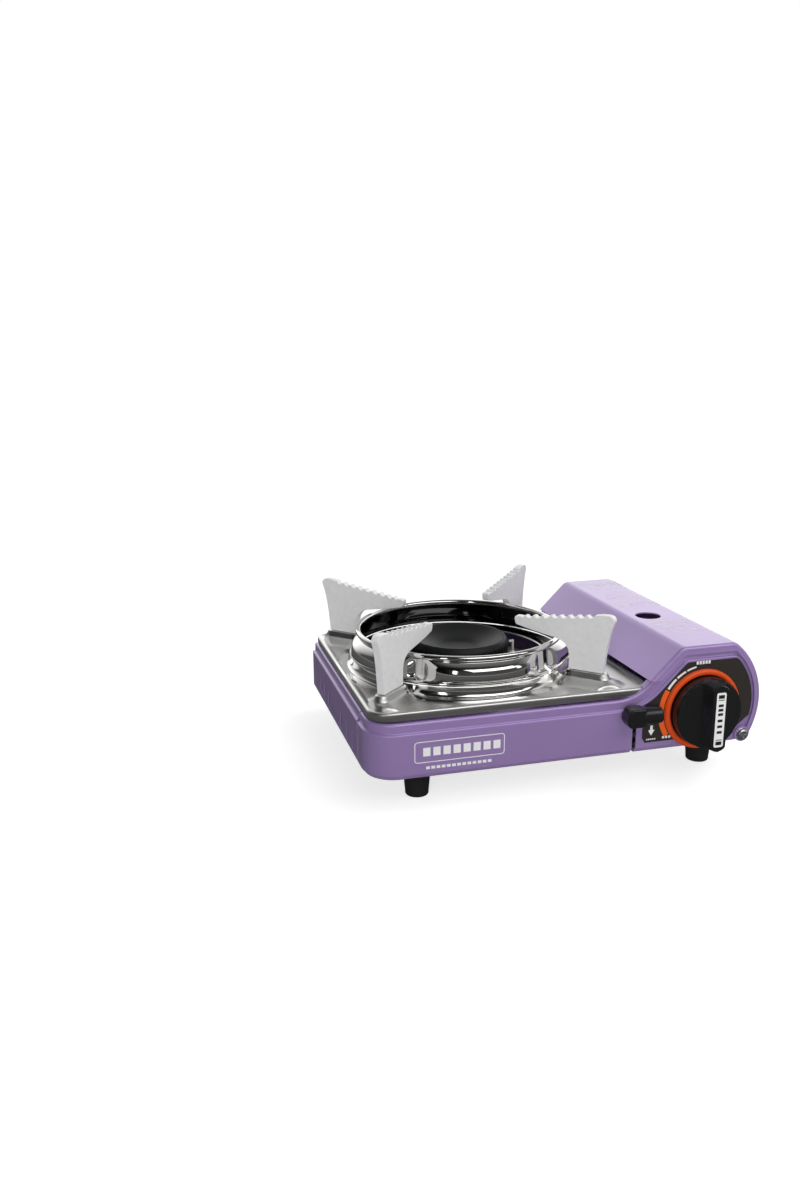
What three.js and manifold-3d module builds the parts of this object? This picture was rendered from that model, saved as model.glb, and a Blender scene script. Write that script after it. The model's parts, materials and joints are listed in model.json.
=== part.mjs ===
// Portable cassette stove: a pressed-steel body with a burner under a square steel drip tray on the left, and
// a cartridge bay under a hinged cover on the right. Millimetres, +Z up; x runs to the right along the front,
// y runs to the rear from the front face, and z = 0 is the ground. The end moves the origin to the middle of
// the footprint.
import * as THREE from 'three';
import { mergeVertices } from 'three/addons/utils/BufferGeometryUtils.js';
import Module from 'manifold-3d';

const wasm = await Module();
wasm.setup();

// ------------------------------------------------------------------ driving dimensions
const sheet = 1; // pressed steel, body and cover
const gap = 0.3; // between pieces that touch
const depth = 200; // front face to rear face
const bottomZ = 20.3;
const hemZ = 23.3; // where the walls turn in under the body
const stepZ = 53; // top of the raised field
const shoulderZ = 60; // top of the walls, under the drip tray
const stepIn = 2; // how far the border is set back
const flangeIn = 9; // inner edge of the wall flanges
const cornerR = 22; // plan radius of the front left corner; the rear one is a sharp mitre
const mitreEnd = 12; // flat plates of the rear panel start here
const seamY = [32, depth - 14]; // where the side panel meets the front and rear panels
const panelEndX = 270; // lower right end of the front and rear panels

const slopeK = 128.8; // the cover's sloping wall lies on x - z = slopeK
const coverTopZ = 95;
const coverEdgeZ = 72.3; // lower edge of the sloping wall
const coverEndZ = 26.3; // lower edge of the round right wall
const archX = 233.5; // centre and radius of the round right wall
const archZ = 51;
const archR = 54.7;
const coverOver = 0.2; // the cover stands this far over each face
const lipDown = 5.7; // width of the cover's lip at the top, and at the side
const lipSide = 4.7;
const windowX = 240.3; // round hole in the cover's top
const windowY = 80.7;
const windowR = 9.6;

const pivotX = 275.5; // cover's pivot screws
const pivotZ = 25.9;
const lugR = 5.2;

const knobX = 241;
const knobZ = 49;
const knobR = 25;
const gripFrontY = -24.2;

const slotX = 190;
const slotHalf = 1.2;
const slotTopZ = 57;

const footR = 8.1;
const footTopR = 9.6;
const footXs = [39, 254.5];
const footYs = [22.5, depth - 22.5];

const trayX = [2.9, 205.3];
const trayY = [3.6, depth - 3.6];
const trayZ = [61.5, 67.4, 66.4]; // skirt bottom, rim top, flat top
const trayR = [14, 9]; // plan radius of the front and the rear corners
const ringX = 94; // centre of burner, windshield and pan supports
const ringY = 100;
const trayHoleR = 66;
const collarZ = 73.4; // top of the tray's collar, where the windshield stands
const ridgeZ = 74.8;

const supportT = 5.6;
const footRadius = [88.5, 113.6]; // support's foot, measured from the ring's centre
const tipRadius = 46.3;
const supportTopZ = 117.2;
const tipTopZ = 108.3;

const bayX = 243; // axis of the cartridge
const bayZ = 58;

const HALF = Math.PI / 2;

// ------------------------------------------------------------------ geometry helpers
function solidOf(geometry) {
  const bare = geometry.clone();
  bare.deleteAttribute('normal');
  bare.deleteAttribute('uv');
  const merged = mergeVertices(bare, 1e-4);
  const position = merged.getAttribute('position');
  const index = merged.getIndex().array;
  const triangles = [];
  let volume = 0;
  const a = new THREE.Vector3();
  const b = new THREE.Vector3();
  const c = new THREE.Vector3();
  for (let i = 0; i < index.length; i += 3) {
    const [p, q, r] = [index[i], index[i + 1], index[i + 2]];
    if (p === q || q === r || r === p) continue;
    triangles.push([p, q, r]);
    volume += a.fromBufferAttribute(position, p)
      .dot(b.fromBufferAttribute(position, q).cross(c.fromBufferAttribute(position, r)));
  }
  const faces = volume < 0 ? triangles.map(([p, q, r]) => [p, r, q]) : triangles;
  return new wasm.Manifold(new wasm.Mesh({
    numProp: 3,
    vertProperties: Float32Array.from(position.array),
    triVerts: Uint32Array.from(faces.flat()),
  }));
}

function geometryOf(solid) {
  const mesh = solid.getMesh();
  const geometry = new THREE.BufferGeometry();
  geometry.setAttribute('position', new THREE.BufferAttribute(Float32Array.from(mesh.vertProperties), 3));
  geometry.setIndex(new THREE.BufferAttribute(Uint32Array.from(mesh.triVerts), 1));
  geometry.computeVertexNormals();
  return geometry;
}

const join = (...solids) => solids.reduce((whole, solid) => whole.add(solid));
const cut = (base, ...tools) => tools.reduce((whole, tool) => whole.subtract(tool), base);

// Moves a solid by building its geometry again in the new place.
function placed(solid, change) {
  const geometry = geometryOf(solid);
  change(geometry);
  return solidOf(geometry);
}

const mirroredY = (solid) => placed(solid, (g) => g.scale(1, -1, 1).translate(0, depth, 0));

function box(x0, x1, y0, y1, z0, z1) {
  const geometry = new THREE.BoxGeometry(x1 - x0, y1 - y0, z1 - z0);
  return solidOf(geometry.translate((x0 + x1) / 2, (y0 + y1) / 2, (z0 + z1) / 2));
}

// A straight round bar; axis is 'x', 'y' or 'z', and centre gives the other two coordinates in order.
function rod(axis, radius, from, to, [u, v], sides = 24, radiusTo = radius) {
  const geometry = new THREE.CylinderGeometry(radiusTo, radius, to - from, sides);
  const middle = (from + to) / 2;
  if (axis === 'x') return solidOf(geometry.rotateZ(-HALF).translate(middle, u, v));
  if (axis === 'y') return solidOf(geometry.translate(u, middle, v));
  return solidOf(geometry.rotateX(HALF).translate(u, v, middle));
}

function extruded(points, length) {
  const shape = new THREE.Shape(points.map(([u, v]) => new THREE.Vector2(u, v)));
  return new THREE.ExtrudeGeometry(shape, { depth: length, bevelEnabled: false, steps: 1 });
}

// An outline in x and z, thick along y.
const slabY = (points, y0, y1) => solidOf(extruded(points, y1 - y0).rotateX(HALF).translate(0, y1, 0));

// An outline in x and y, thick along z.
const slabZ = (points, z0, z1) => solidOf(extruded(points, z1 - z0).translate(0, 0, z0));

// An outline in y and z, thick along x.
function slabX(points, x0, x1) {
  return solidOf(extruded(points, x1 - x0).rotateY(HALF).rotateX(HALF).translate(x0, 0, 0));
}

// A closed outline of radius and height, turned about the vertical line through (x, y).
function turned(points, sides, x, y) {
  const outline = [...points, points[0]].map(([r, z]) => new THREE.Vector2(r, z));
  return solidOf(new THREE.LatheGeometry(outline, sides).rotateX(HALF).translate(x, y, 0));
}

// The same, about a line along y through (x, z); heights run to the rear.
function turnedY(points, sides, x, z) {
  const outline = [...points, points[0]].map(([r, y]) => new THREE.Vector2(r, y));
  return solidOf(new THREE.LatheGeometry(outline, sides).translate(x, 0, z));
}

// A round bar bent along a smooth path.
function bentRod(points, radius, steps, sides = 8) {
  const path = new THREE.CatmullRomCurve3(points.map((p) => new THREE.Vector3(...p)), false, 'centripetal');
  const section = [];
  for (let i = 0; i < sides; i += 1) {
    const angle = (2 * Math.PI * i) / sides;
    section.push(new THREE.Vector2(radius * Math.cos(angle), radius * Math.sin(angle)));
  }
  return solidOf(new THREE.ExtrudeGeometry(new THREE.Shape(section), { steps, extrudePath: path }));
}

// Points of a circular arc in a plane, from one angle to the other.
function arc(u, v, radius, from, to, count) {
  const points = [];
  for (let i = 0; i <= count; i += 1) {
    const angle = from + ((to - from) * i) / count;
    points.push([u + radius * Math.cos(angle), v + radius * Math.sin(angle)]);
  }
  return points;
}

function roundedBox(x0, x1, y0, y1, radius, count = 5, radius1 = radius) {
  return [
    ...arc(x1 - radius1, y1 - radius1, radius1, 0, HALF, count),
    ...arc(x0 + radius1, y1 - radius1, radius1, HALF, 2 * HALF, count),
    ...arc(x0 + radius, y0 + radius, radius, 2 * HALF, 3 * HALF, count),
    ...arc(x1 - radius, y0 + radius, radius, 3 * HALF, 4 * HALF, count),
  ];
}

// ------------------------------------------------------------------ front silhouette
// The upper edge that the cover, the panels and the control plate share: a level shoulder, a hollow curve,
// the 45 degree slope, the flat top and the round right side down to the height endZ. Without a shoulder it
// starts on the slope at the height startZ.
function crest({ slope, top, radius, bend, shoulder, hollow, startZ, endZ }) {
  const points = [];
  if (shoulder === undefined) {
    points.push([slope + startZ, startZ]);
  } else {
    const hollowX = shoulder + hollow + slope - hollow * Math.SQRT2;
    points.push(...arc(hollowX, shoulder + hollow, hollow, -HALF, -HALF / 2, 6));
  }
  const bendZ = top - bend;
  points.push(...arc(bendZ + slope + bend * Math.SQRT2, bendZ, bend, 1.5 * HALF, HALF, 3));
  const turnX = archX + Math.sqrt((radius - bend) ** 2 - (bendZ - archZ) ** 2);
  const turnAngle = Math.atan2(bendZ - archZ, turnX - archX);
  points.push(...arc(turnX, bendZ, bend, HALF, turnAngle, 3));
  const endAngle = Math.asin((endZ - archZ) / radius);
  points.push(...arc(archX, archZ, radius, turnAngle, 0, 6));
  points.push(...arc(archX, archZ, radius, 0, endAngle, 4).slice(1));
  return points;
}

// Cover outline, set in by down on the slope and top and by side on the right.
const coverCrest = (down, side, bend) => crest({
  slope: slopeK + down * Math.SQRT2,
  top: coverTopZ - down,
  radius: archR - side,
  bend,
  startZ: coverEdgeZ,
  endZ: coverEndZ,
});

// Outer outline of the front and rear panels, inset by the given amount.
function panelOutline(inset, left) {
  const lug = lugR - inset;
  return [
    [left, bottomZ + inset],
    [left, shoulderZ - inset],
    ...crest({
      slope: slopeK + (1.5 + inset) * Math.SQRT2,
      top: coverTopZ - 1.5 - inset,
      radius: archR - 1.5 - inset,
      bend: 6.5 - inset,
      shoulder: shoulderZ - inset,
      hollow: 33 + inset,
      endZ: 27 + inset * 1.4,
    }),
    ...arc(pivotX, pivotZ, lug, 0.1, -HALF * 1.05, 4),
    [panelEndX - inset, bottomZ + inset],
  ];
}

// The raised field of the front and rear panels.
function fieldOutline(inset, left) {
  return [
    [left, hemZ + inset],
    [left, stepZ - inset],
    ...crest({
      slope: 141.6 + inset * Math.SQRT2,
      top: 85.7 - inset,
      radius: archR - 6.2 - inset,
      bend: 6 - inset,
      shoulder: stepZ - inset,
      hollow: 40 + inset,
      endZ: 40 + inset * 0.5,
    }),
    [262.5 - inset * 0.4, hemZ + inset],
  ];
}

// ------------------------------------------------------------------ body shell
// Section of a body wall: distance in from the outer face, and height.
const wallSection = [
  [flangeIn, bottomZ], [stepIn, bottomZ], [stepIn, hemZ], [0, hemZ], [0, stepZ], [stepIn, stepZ],
  [stepIn, shoulderZ], [flangeIn, shoulderZ], [flangeIn, shoulderZ - sheet],
  [stepIn + sheet, shoulderZ - sheet], [stepIn + sheet, stepZ - sheet], [sheet, stepZ - sheet],
  [sheet, hemZ + sheet], [stepIn + sheet, hemZ + sheet], [stepIn + sheet, bottomZ + sheet],
  [flangeIn, bottomZ + sheet],
];

// Flat plates of a panel from x = left to the right end, with the corner and the return along the side.
function panel(left, corner, seam) {
  const back = stepIn + sheet;
  const inner = left - 5; // cutting outlines start left of the plates that they cut
  const field = slabY(fieldOutline(0, left), 0, sheet);
  const fieldHole = slabY(fieldOutline(sheet, inner), -1, back + 1);
  const fieldEdge = cut(slabY(fieldOutline(0, left), 0, back), fieldHole);
  const border = cut(slabY(panelOutline(0, left), stepIn, back), fieldHole);
  const flange = cut(
    slabY(panelOutline(0, left), stepIn, flangeIn),
    slabY(panelOutline(sheet, inner), 0, flangeIn + 1),
  );
  const returnWall = slabY(wallSection, left, seam);
  const trayNotch = box(176, 208, back + 0.05, flangeIn + 1, shoulderZ + 1, coverTopZ);
  const pivotHole = rod('y', 2.4, 0, back + 1, [pivotX, pivotZ], 16);
  return cut(join(field, fieldEdge, border, flange, corner, returnWall), trayNotch, pivotHole);
}

function roundCorner() {
  const whole = turned(wallSection.map(([offset, z]) => [cornerR - offset, z]), 40, cornerR, cornerR);
  return whole.intersect(box(-1, cornerR, -1, cornerR, 0, shoulderZ + 1));
}

function mitredCorner() {
  const alongSide = slabY(wallSection, 0, mitreEnd).intersect(slabZ([[-1, -1], [20, 20], [-1, 20]], 0, 70));
  const alongFace = slabX(wallSection, 0, mitreEnd).intersect(slabZ([[-1, -1], [20, -1], [20, 20]], 0, 70));
  return join(alongSide, alongFace);
}

function frontPanel() {
  const shaftHole = rod('y', 5.2, -1, stepIn + 2, [knobX, knobZ]);
  const leverSlot = box(slotX - slotHalf, slotX + slotHalf, -1, flangeIn + 1, 0, slotTopZ);
  return cut(panel(cornerR, roundCorner(), seamY[0]), shaftHole, leverSlot);
}

function rearPanel() {
  const slots = [];
  for (let i = 0; i < 7; i += 1) {
    slots.push(box(46 + i * 16, 50 + i * 16, depth - 2, depth + 1, 32, 46));
  }
  return cut(mirroredY(panel(mitreEnd, mitredCorner(), depth - seamY[1])), ...slots);
}

function sidePanel() {
  const wall = slabY(wallSection, seamY[0] + gap, seamY[1] - gap);
  const louvres = [50, 69, 88, 133, 149, 165].map((y) => box(-1, sheet + 1, y - 1.6, y + 1.6, 26, 40));
  return cut(wall, ...louvres);
}

function bottomPan() {
  const inset = stepIn + sheet + gap;
  const floor = bottomZ + sheet + gap;
  const rightX = 267.5;
  const round = cornerR - inset;
  const outer = roundedBox(inset, rightX, inset, depth - inset, round);
  const inner = inset + sheet;
  const hollow = roundedBox(inner, rightX - sheet, inner, depth - inner, round - sheet);
  const tray = cut(slabZ(outer, floor, floor + 2), slabZ(hollow, floor + sheet, floor + 3));
  const rightWall = box(rightX - sheet, rightX, cornerR, depth - cornerR, floor + 0.5, floor + 9);
  const vents = [];
  for (let i = 0; i < 6; i += 1) {
    vents.push(box(60 + i * 13, 64 + i * 13, 60, 140, 0, floor + 3));
  }
  return cut(join(tray, rightWall), ...vents);
}

function heatShield() {
  const base = bottomZ + 2 * sheet + 2 * gap;
  const x = 199.5;
  const wall = box(x, x + sheet, 10, depth - 10, base, shoulderZ + 0.3);
  const foot = box(x, x + 6, 10, depth - 10, base, base + sheet);
  const passage = box(x - 1, x + sheet + 1, 9, 36, 27, 57);
  const airSlots = [60, 85, 110, 135, 160].map((y) => box(x - 1, x + 2, y, y + 14, 40, 44));
  return cut(join(wall, foot), passage, ...airSlots);
}

function foot(x, y) {
  const round = 1.2;
  const top = bottomZ + sheet - gap;
  const profile = [[0, 0], [footR - round, 0], [footR, round], [footTopR, top], [0, top]];
  return turned(profile, 24, x, y);
}

// ------------------------------------------------------------------ cover and its pivots
function cover() {
  const y0 = -coverOver;
  const y1 = depth + coverOver;
  const outer = coverCrest(0, 0, 8);
  const shell = slabY([...outer, ...coverCrest(sheet, sheet, 7).reverse()], y0, y1);
  const lipShape = [...outer, ...coverCrest(lipDown, lipSide, 3.5).reverse()];
  const lip = (from) => join(
    slabY(lipShape, from, from + sheet),
    rod('y', lugR + 0.5, from, from + sheet, [pivotX, pivotZ], 28),
  );
  const pivotHole = rod('y', 2.4, y0 - 1, y1 + 1, [pivotX, pivotZ], 16);
  const window = rod('z', windowR, coverTopZ - 3, coverTopZ + 1, [windowX, windowY], 32);
  return cut(join(shell, lip(y0), lip(y1 - sheet)), pivotHole, window);
}

function pivotScrew() {
  const head = turnedY([[0, -3.2], [2.6, -3.1], [3.9, -2.3], [4, -1.4], [0, -1.4]], 20, pivotX, pivotZ);
  const recess = join(
    box(pivotX - 0.5, pivotX + 0.5, -4, -2.2, pivotZ - 2, pivotZ + 2),
    box(pivotX - 2, pivotX + 2, -4, -2.2, pivotZ - 0.5, pivotZ + 0.5),
  );
  return cut(join(head, rod('y', 1.9, -1.5, 8, [pivotX, pivotZ], 16)), recess);
}

function pivotWasher() {
  return cut(
    rod('y', 4.7, -1.1, -coverOver - gap, [pivotX, pivotZ], 24),
    rod('y', 2.3, -2, 1, [pivotX, pivotZ], 16),
  );
}

// ------------------------------------------------------------------ controls
const plateY = [-0.8, -gap];

function controlPlate() {
  const outline = [
    [180, 28],
    ...crest({ slope: 144.2, top: 84, radius: 47.2, bend: 5, shoulder: 52, hollow: 41, endZ: 40.5 }),
    [264, 28],
  ];
  const plate = slabY(outline, ...plateY).intersect(box(196, 300, -2, 1, 0, 100));
  return cut(plate, rod('y', 5.2, -2, 1, [knobX, knobZ]));
}

function knobBezel() {
  const seat = plateY[0] - gap;
  return turnedY([[25.2, seat], [26, -2.9], [27.3, -3.5], [28.6, -2.9], [29.4, seat]], 48, knobX, knobZ);
}

const labelHalf = [3.7, 20];

function knob() {
  const discFront = -12;
  const discProfile = [
    [0, discFront], [24, discFront], [knobR, -10.8], [knobR, -5], [knobR - 0.6, -4.2],
    [knobR - 0.6, -1.2], [0, -1.2],
  ];
  const disc = turnedY(discProfile, 48, knobX, knobZ);
  const flank = [[5.6, gripFrontY], [6.6, -15], [9.4, -12.2], [9.4, -7]];
  const section = [...flank.map(([x, y]) => [-x, y]).reverse(), ...flank];
  const bar = slabZ(section.map(([x, y]) => [knobX + x, y]), knobZ - 27, knobZ + 27);
  const facePoint = 26.4;
  const side = [[5.6, 2.2 - facePoint], [10, 7 - facePoint], [10, facePoint - 7], [5.6, facePoint - 2.6]];
  const faceOutline = [[0, facePoint], ...side.map(([x, z]) => [-x, z]).reverse(), ...side];
  const grip = bar
    .intersect(slabY(faceOutline.map(([x, z]) => [knobX + x, knobZ + z]), gripFrontY - 1, -6))
    .intersect(slabX([[-6, -25], [-6, 28], [-15, 27], [gripFrontY - 1, 24], [gripFrontY - 1, -23.4]]
      .map(([y, z]) => [y, knobZ + z]), knobX - 12, knobX + 12));
  const [halfX, halfZ] = labelHalf;
  const pocket = box(knobX - halfX - gap, knobX + halfX + gap, gripFrontY - 1, gripFrontY + 0.9,
    knobZ - halfZ - gap, knobZ + halfZ + gap);
  return cut(join(disc, grip), pocket, rod('y', 3.3, -7, 0, [knobX, knobZ]));
}

function knobLabel() {
  const [halfX, halfZ] = labelHalf;
  const outline = roundedBox(knobX - halfX, knobX + halfX, knobZ - halfZ, knobZ + halfZ, 1.5, 3);
  return slabY(outline, gripFrontY - 0.2, gripFrontY + 0.5);
}

function valveShaft() {
  return join(
    rod('y', 3, -6.6, 4.6, [knobX, knobZ]),
    rod('y', 4, 4.4, 9.2, [knobX, knobZ]),
    rod('y', 3, 9, 16, [knobX, knobZ]),
  );
}

// Snail cam on the valve shaft: its radius grows steadily over the knob's turn, so that it drives the
// igniter's striker by the same amount for each degree.
const camR = 9;
const camRise = 2.2; // per radian
const camY = [5.2, 8.2];

function igniterCam() {
  const spiral = (130 / 90) * HALF;
  const outline = arc(knobX, knobZ, camR, 0.15 - 4 * HALF, -spiral - 0.12, 14);
  for (let i = 12; i >= 0; i -= 1) {
    const angle = (i / 12) * spiral;
    const radius = camR + camRise * angle;
    outline.push([knobX + radius * Math.cos(angle), knobZ - radius * Math.sin(angle)]);
  }
  return cut(slabY(outline, ...camY), rod('y', 4.3, 5, 9, [knobX, knobZ]));
}

function lockLever() {
  const z = 51.4;
  const block = slabY([
    [177.6, z - 2.5], [178.8, z + 4.6], [182, z + 6.9], [192, z + 6.4], [192, z - 6.6], [180.6, z - 6.9],
  ], -13.4, -2.4);
  const bar = rod('x', 6, 190, 204.6, [-8.4, z], 28);
  const neck = box(slotX - 0.8, slotX + 0.8, -4, 3.6, z - 6, z + 3.4);
  return join(block, bar, neck);
}

function leverSlide() {
  const plate = box(slotX - 7, slotX + 7, 3.9, 5.4, 39.8, 57);
  const cam = box(slotX + 1, slotX + 7, 5.3, 7.2, 46, 57);
  return join(plate, cam);
}

// ------------------------------------------------------------------ gas train in the cartridge bay
const regulatorY = [10, 19.3];

function regulatorBody() {
  const [y0, y1] = regulatorY;
  const block = slabY(roundedBox(228.3, 261, 40.5, 74, 4, 3), y0, y1);
  const shaftBore = rod('y', 3.3, y0 - 1, 17, [knobX, knobZ]);
  const inletBore = rod('y', 2.2, 12, y1 + 1, [bayX, bayZ + 6], 16);
  return cut(block, shaftBore, inletBore);
}

function regulatorBonnet() {
  const [y0, y1] = regulatorY;
  const profile = [[0, y0 - 2], [8, y0 - 2], [9, y0], [13, y0], [13, y1 - 1], [0, y1 - 1]];
  return turnedY(profile, 32, 214.6, 50);
}

function regulatorBracket() {
  const plate = slabY(roundedBox(222, 259, 34, 78, 5, 3), 3.4, 4.3);
  return cut(plate, rod('y', 4.9, 3, 5, [knobX, knobZ]));
}

function cartridgeSeat() {
  const at = [bayX, bayZ + 6];
  return cut(rod('y', 6, regulatorY[1] + gap, 22.4, at, 24, 5), rod('y', 2, 19, 23, at, 16));
}

const strikerY = 6.8;
const piezoX = 262.4;

function piezoBody() {
  const body = slabZ(roundedBox(piezoX, 279, 3.6, 13.6, 2, 3), 44.4, 53.6);
  return cut(body, rod('x', 2.2, piezoX - 1, 275, [strikerY, knobZ]));
}

function piezoStriker() {
  const tip = knobX + camR + 0.4;
  const axis = [strikerY, knobZ];
  return join(rod('x', 1.8, tip + 1.5, piezoX + 5, axis), rod('x', 1, tip, tip + 1.6, axis));
}

// Fork that draws the cartridge's collar against the regulator as the lock lever goes down.
function lockFork() {
  const y0 = 26.5;
  const y1 = 28;
  const plate = box(bayX - 24, bayX + 21, y0, y1, 31, bayZ + 4);
  const notch = box(bayX - 17.5, bayX + 17.5, y0 - 1, y1 + 1, bayZ - 17.5, bayZ + 5);
  const arm = box(slotX + 3, bayX - 23, y0, y1, 46, 54);
  const toe = box(slotX + 3, slotX + 5, 12, y1, 46, 54);
  return join(cut(plate, notch), arm, toe);
}

// Two saddle ribs on a base strip, which carry the cartridge.
function cartridgeCradle() {
  const base = bottomZ + 2 * sheet + 2 * gap;
  const strip = box(bayX - 22, bayX + 22, 70, 176, base, base + sheet);
  const ribs = [-19, 18].map((x) => box(bayX + x, bayX + x + sheet, 70, 176, base, 29.2));
  return join(strip, ...ribs);
}

function gasPipe() {
  return bentRod([
    [236, 14.6, 40.1], [236, 14.6, 36], [233, 15, 32.6], [226, 15.4, 31.2], [205, 16, 31.2], [195, 18, 31.4],
    [191, 24, 32], [190, 34, 33], [190, 78, 40], [190, 90, 43], [189, 97, 44], [186, 100, 44],
    [182.4, 100, 44],
  ], 2, 44);
}

function gasJet() {
  const hex = rod('x', 5, 177.6, 182, [ringY, 44], 6);
  return join(hex, rod('x', 3, 173, 178, [ringY, 44], 16));
}

function jetBracket() {
  const base = bottomZ + 2 * sheet + 2 * gap;
  const plate = box(175.8, 176.8, ringY - 9, ringY + 9, base, 52);
  const toe = box(175.8, 184, ringY - 9, ringY + 9, base, base + sheet);
  return cut(join(plate, toe), rod('x', 3.3, 175, 178, [ringY, 44], 16));
}

function mixingTube() {
  const outer = [[9, 0], [9, 3], [6.6, 10], [6.6, 20], [7.6, 40]];
  const inner = [[6.8, 40], [5.8, 20], [5.8, 10], [8.2, 2.6], [8.2, 0]];
  const outline = [...outer, ...inner].map(([r, along]) => new THREE.Vector2(r, along));
  outline.push(outline[0]);
  return solidOf(new THREE.LatheGeometry(outline, 24).rotateZ(HALF).translate(171, ringY, 44));
}

// ------------------------------------------------------------------ burner
function burnerBody() {
  const bowl = turned([
    [0, 35.3], [15, 35.3], [20, 38], [21, 50], [33.5, 66], [34.5, 74.6], [33.3, 74.6], [32.3, 66.4],
    [19.5, 51], [18.5, 40], [14, 37.6], [0, 37.6],
  ], 32, ringX, ringY);
  const inlet = rod('x', 8.7, ringX + 14, 130.7, [ringY, 44]);
  const bore = rod('x', 6.8, ringX + 13, 132, [ringY, 44]);
  return cut(join(bowl, inlet), bore.intersect(box(ringX + 13, 133, 80, 120, 37.7, 60)));
}

function burnerHead() {
  const teeth = 24;
  const skirt = [];
  for (let i = 0; i < teeth; i += 1) {
    const start = (2 * Math.PI * i) / teeth;
    const step = (2 * Math.PI) / teeth;
    skirt.push([37.4, start], [37.4, start + step * 0.62], [35.9, start + step * 0.62], [35.9, start + step]);
  }
  const ring = skirt.map(([r, angle]) => [ringX + r * Math.cos(angle), ringY + r * Math.sin(angle)]);
  const ports = slabZ(ring, 75, 81.4);
  const dish = turned([
    [0, 79.4], [36.8, 81.2], [37.2, 82], [34.5, 86], [33.2, 86.4], [31.5, 86], [22, 82.8], [0, 81],
  ], 32, ringX, ringY);
  return cut(join(ports, dish), rod('z', 33.5, 70, 79, [ringX, ringY], 32));
}

// Low table on the bottom pan, which carries the burner, its pan and the electrode.
const bridgeTop = 35;
const electrodeX = 132.5;
const electrodeY = 87;

function burnerBridge() {
  const base = bottomZ + 2 * sheet + 2 * gap;
  const deck = box(66, 140, 44, 156, bridgeTop - sheet, bridgeTop);
  const legs = [44, 155].map((y) => box(80, 108, y, y + sheet, base, bridgeTop));
  const toes = [[36, 45], [155, 164]].map(([y0, y1]) => box(80, 108, y0, y1, base, base + sheet));
  const leadHole = rod('z', 3, bridgeTop - 2, bridgeTop + 1, [electrodeX + 0.8, electrodeY - 0.6], 16);
  return cut(join(deck, ...legs, ...toes), leadHole);
}

// Shallow dish around the burner, under the tray's hole, on two legs.
function burnerPan() {
  const dish = turned([
    [30, 57.5], [59, 57.5], [62, 58.6], [63, 62.6], [62, 62.6], [61, 59.2], [58.6, 58.5], [30, 58.5],
  ], 48, ringX, ringY);
  const legs = [46, 153].map((y) => box(82, 106, y, y + sheet, bridgeTop + gap, 58));
  return cut(join(dish, ...legs), rod('z', 2.8, 50, 60, [electrodeX, electrodeY], 16));
}

function electrode() {
  const insulator = rod('z', 2, 40, 74, [electrodeX, electrodeY], 16);
  const wire = rod('z', 0.8, 73, 83, [electrodeX, electrodeY], 8);
  const tip = box(electrodeX - 3, electrodeX, electrodeY - 0.7, electrodeY + 0.7, 81.8, 83);
  return join(insulator, wire, tip);
}

function electrodeBracket() {
  const top = 52.5;
  const y0 = electrodeY - 4.5;
  const plate = box(electrodeX - 5, electrodeX + 4, y0, electrodeY + 3.5, top - sheet, top);
  const leg = box(electrodeX - 5, electrodeX + 4, y0 - sheet, y0, bridgeTop + gap, top);
  return cut(join(plate, leg), rod('z', 2.3, 50, 60, [electrodeX, electrodeY], 16));
}

function sparkLead() {
  return bentRod([
    [272, 14.2, 47], [272, 17, 47], [272, 18.6, 41], [270.5, 18.8, 34], [265, 19.4, 28.4], [254, 20.4, 26],
    [226, 21, 25.8], [206, 20, 28.4], [194, 26, 28.2], [180, 40, 26], [160, 62, 26.4], [144, 78, 28],
    [134.2, 86, 32.6], [132.5, 87, 36.6], [132.5, 87, 39.4],
  ], 1.1, 56);
}

// ------------------------------------------------------------------ drip tray, windshield and pan supports
// A piece drawn along +x from the ring's centre, turned to one of the four diagonals.
function onDiagonal(solid, quarter) {
  const angle = HALF / 2 + quarter * HALF;
  return placed(solid, (g) => g.rotateZ(angle).translate(ringX, ringY, 0));
}

function trayOutline(inset) {
  const [front, rear] = trayR;
  const [x0, x1] = trayX;
  const [y0, y1] = trayY;
  return roundedBox(x0 + inset, x1 - inset, y0 + inset, y1 - inset, front - inset, 6, rear - inset);
}

// Rib that carries a support's foot: a low broad swelling with a narrow ridge on it, and a round nose.
const ribHalf = [[9, trayZ[2] - 0.6], [4.9, 71.2], [4.4, 74.2], [3.8, ridgeZ], [0, ridgeZ]];

function trayRib() {
  const nose = 115.5;
  const across = [...ribHalf, [0, trayZ[2] - 0.6]];
  const half = slabX(across, footRadius[0] - 6, nose);
  const otherHalf = slabX(across.map(([y, z]) => [-y, z]), footRadius[0] - 6, nose);
  return join(half, otherHalf, turned(across, 20, nose, 0));
}

function dripTray() {
  const [skirtZ, rimZ, flatZ] = trayZ;
  const skirt = cut(slabZ(trayOutline(0), skirtZ, rimZ), slabZ(trayOutline(sheet), skirtZ - 1, rimZ + 1));
  const rimBand = slabZ(trayOutline(0.6), rimZ - sheet, rimZ + 0.5);
  const rim = cut(rimBand, slabZ(trayOutline(3), rimZ - 3, rimZ + 1));
  const flat = cut(slabZ(trayOutline(0.5), flatZ - sheet, flatZ), rod('z', 84, 60, 70, [ringX, ringY], 48));
  const collar = turned([
    [88.6, flatZ], [85, 67.8], [82.2, 70.4], [81, collarZ], [trayHoleR, collarZ], [trayHoleR, collarZ - 1],
    [80, collarZ - 1], [81.2, 69.8], [83.6, 67], [83.6, flatZ - sheet], [88.6, flatZ - sheet],
  ], 48, ringX, ringY);
  const ribs = [0, 1, 2, 3].map((quarter) => onDiagonal(trayRib(), quarter));
  const inside = rod('z', 79.9, 60, collarZ - 1, [ringX, ringY], 48);
  return cut(join(skirt, rim, flat, collar, ...ribs), inside);
}

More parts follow.
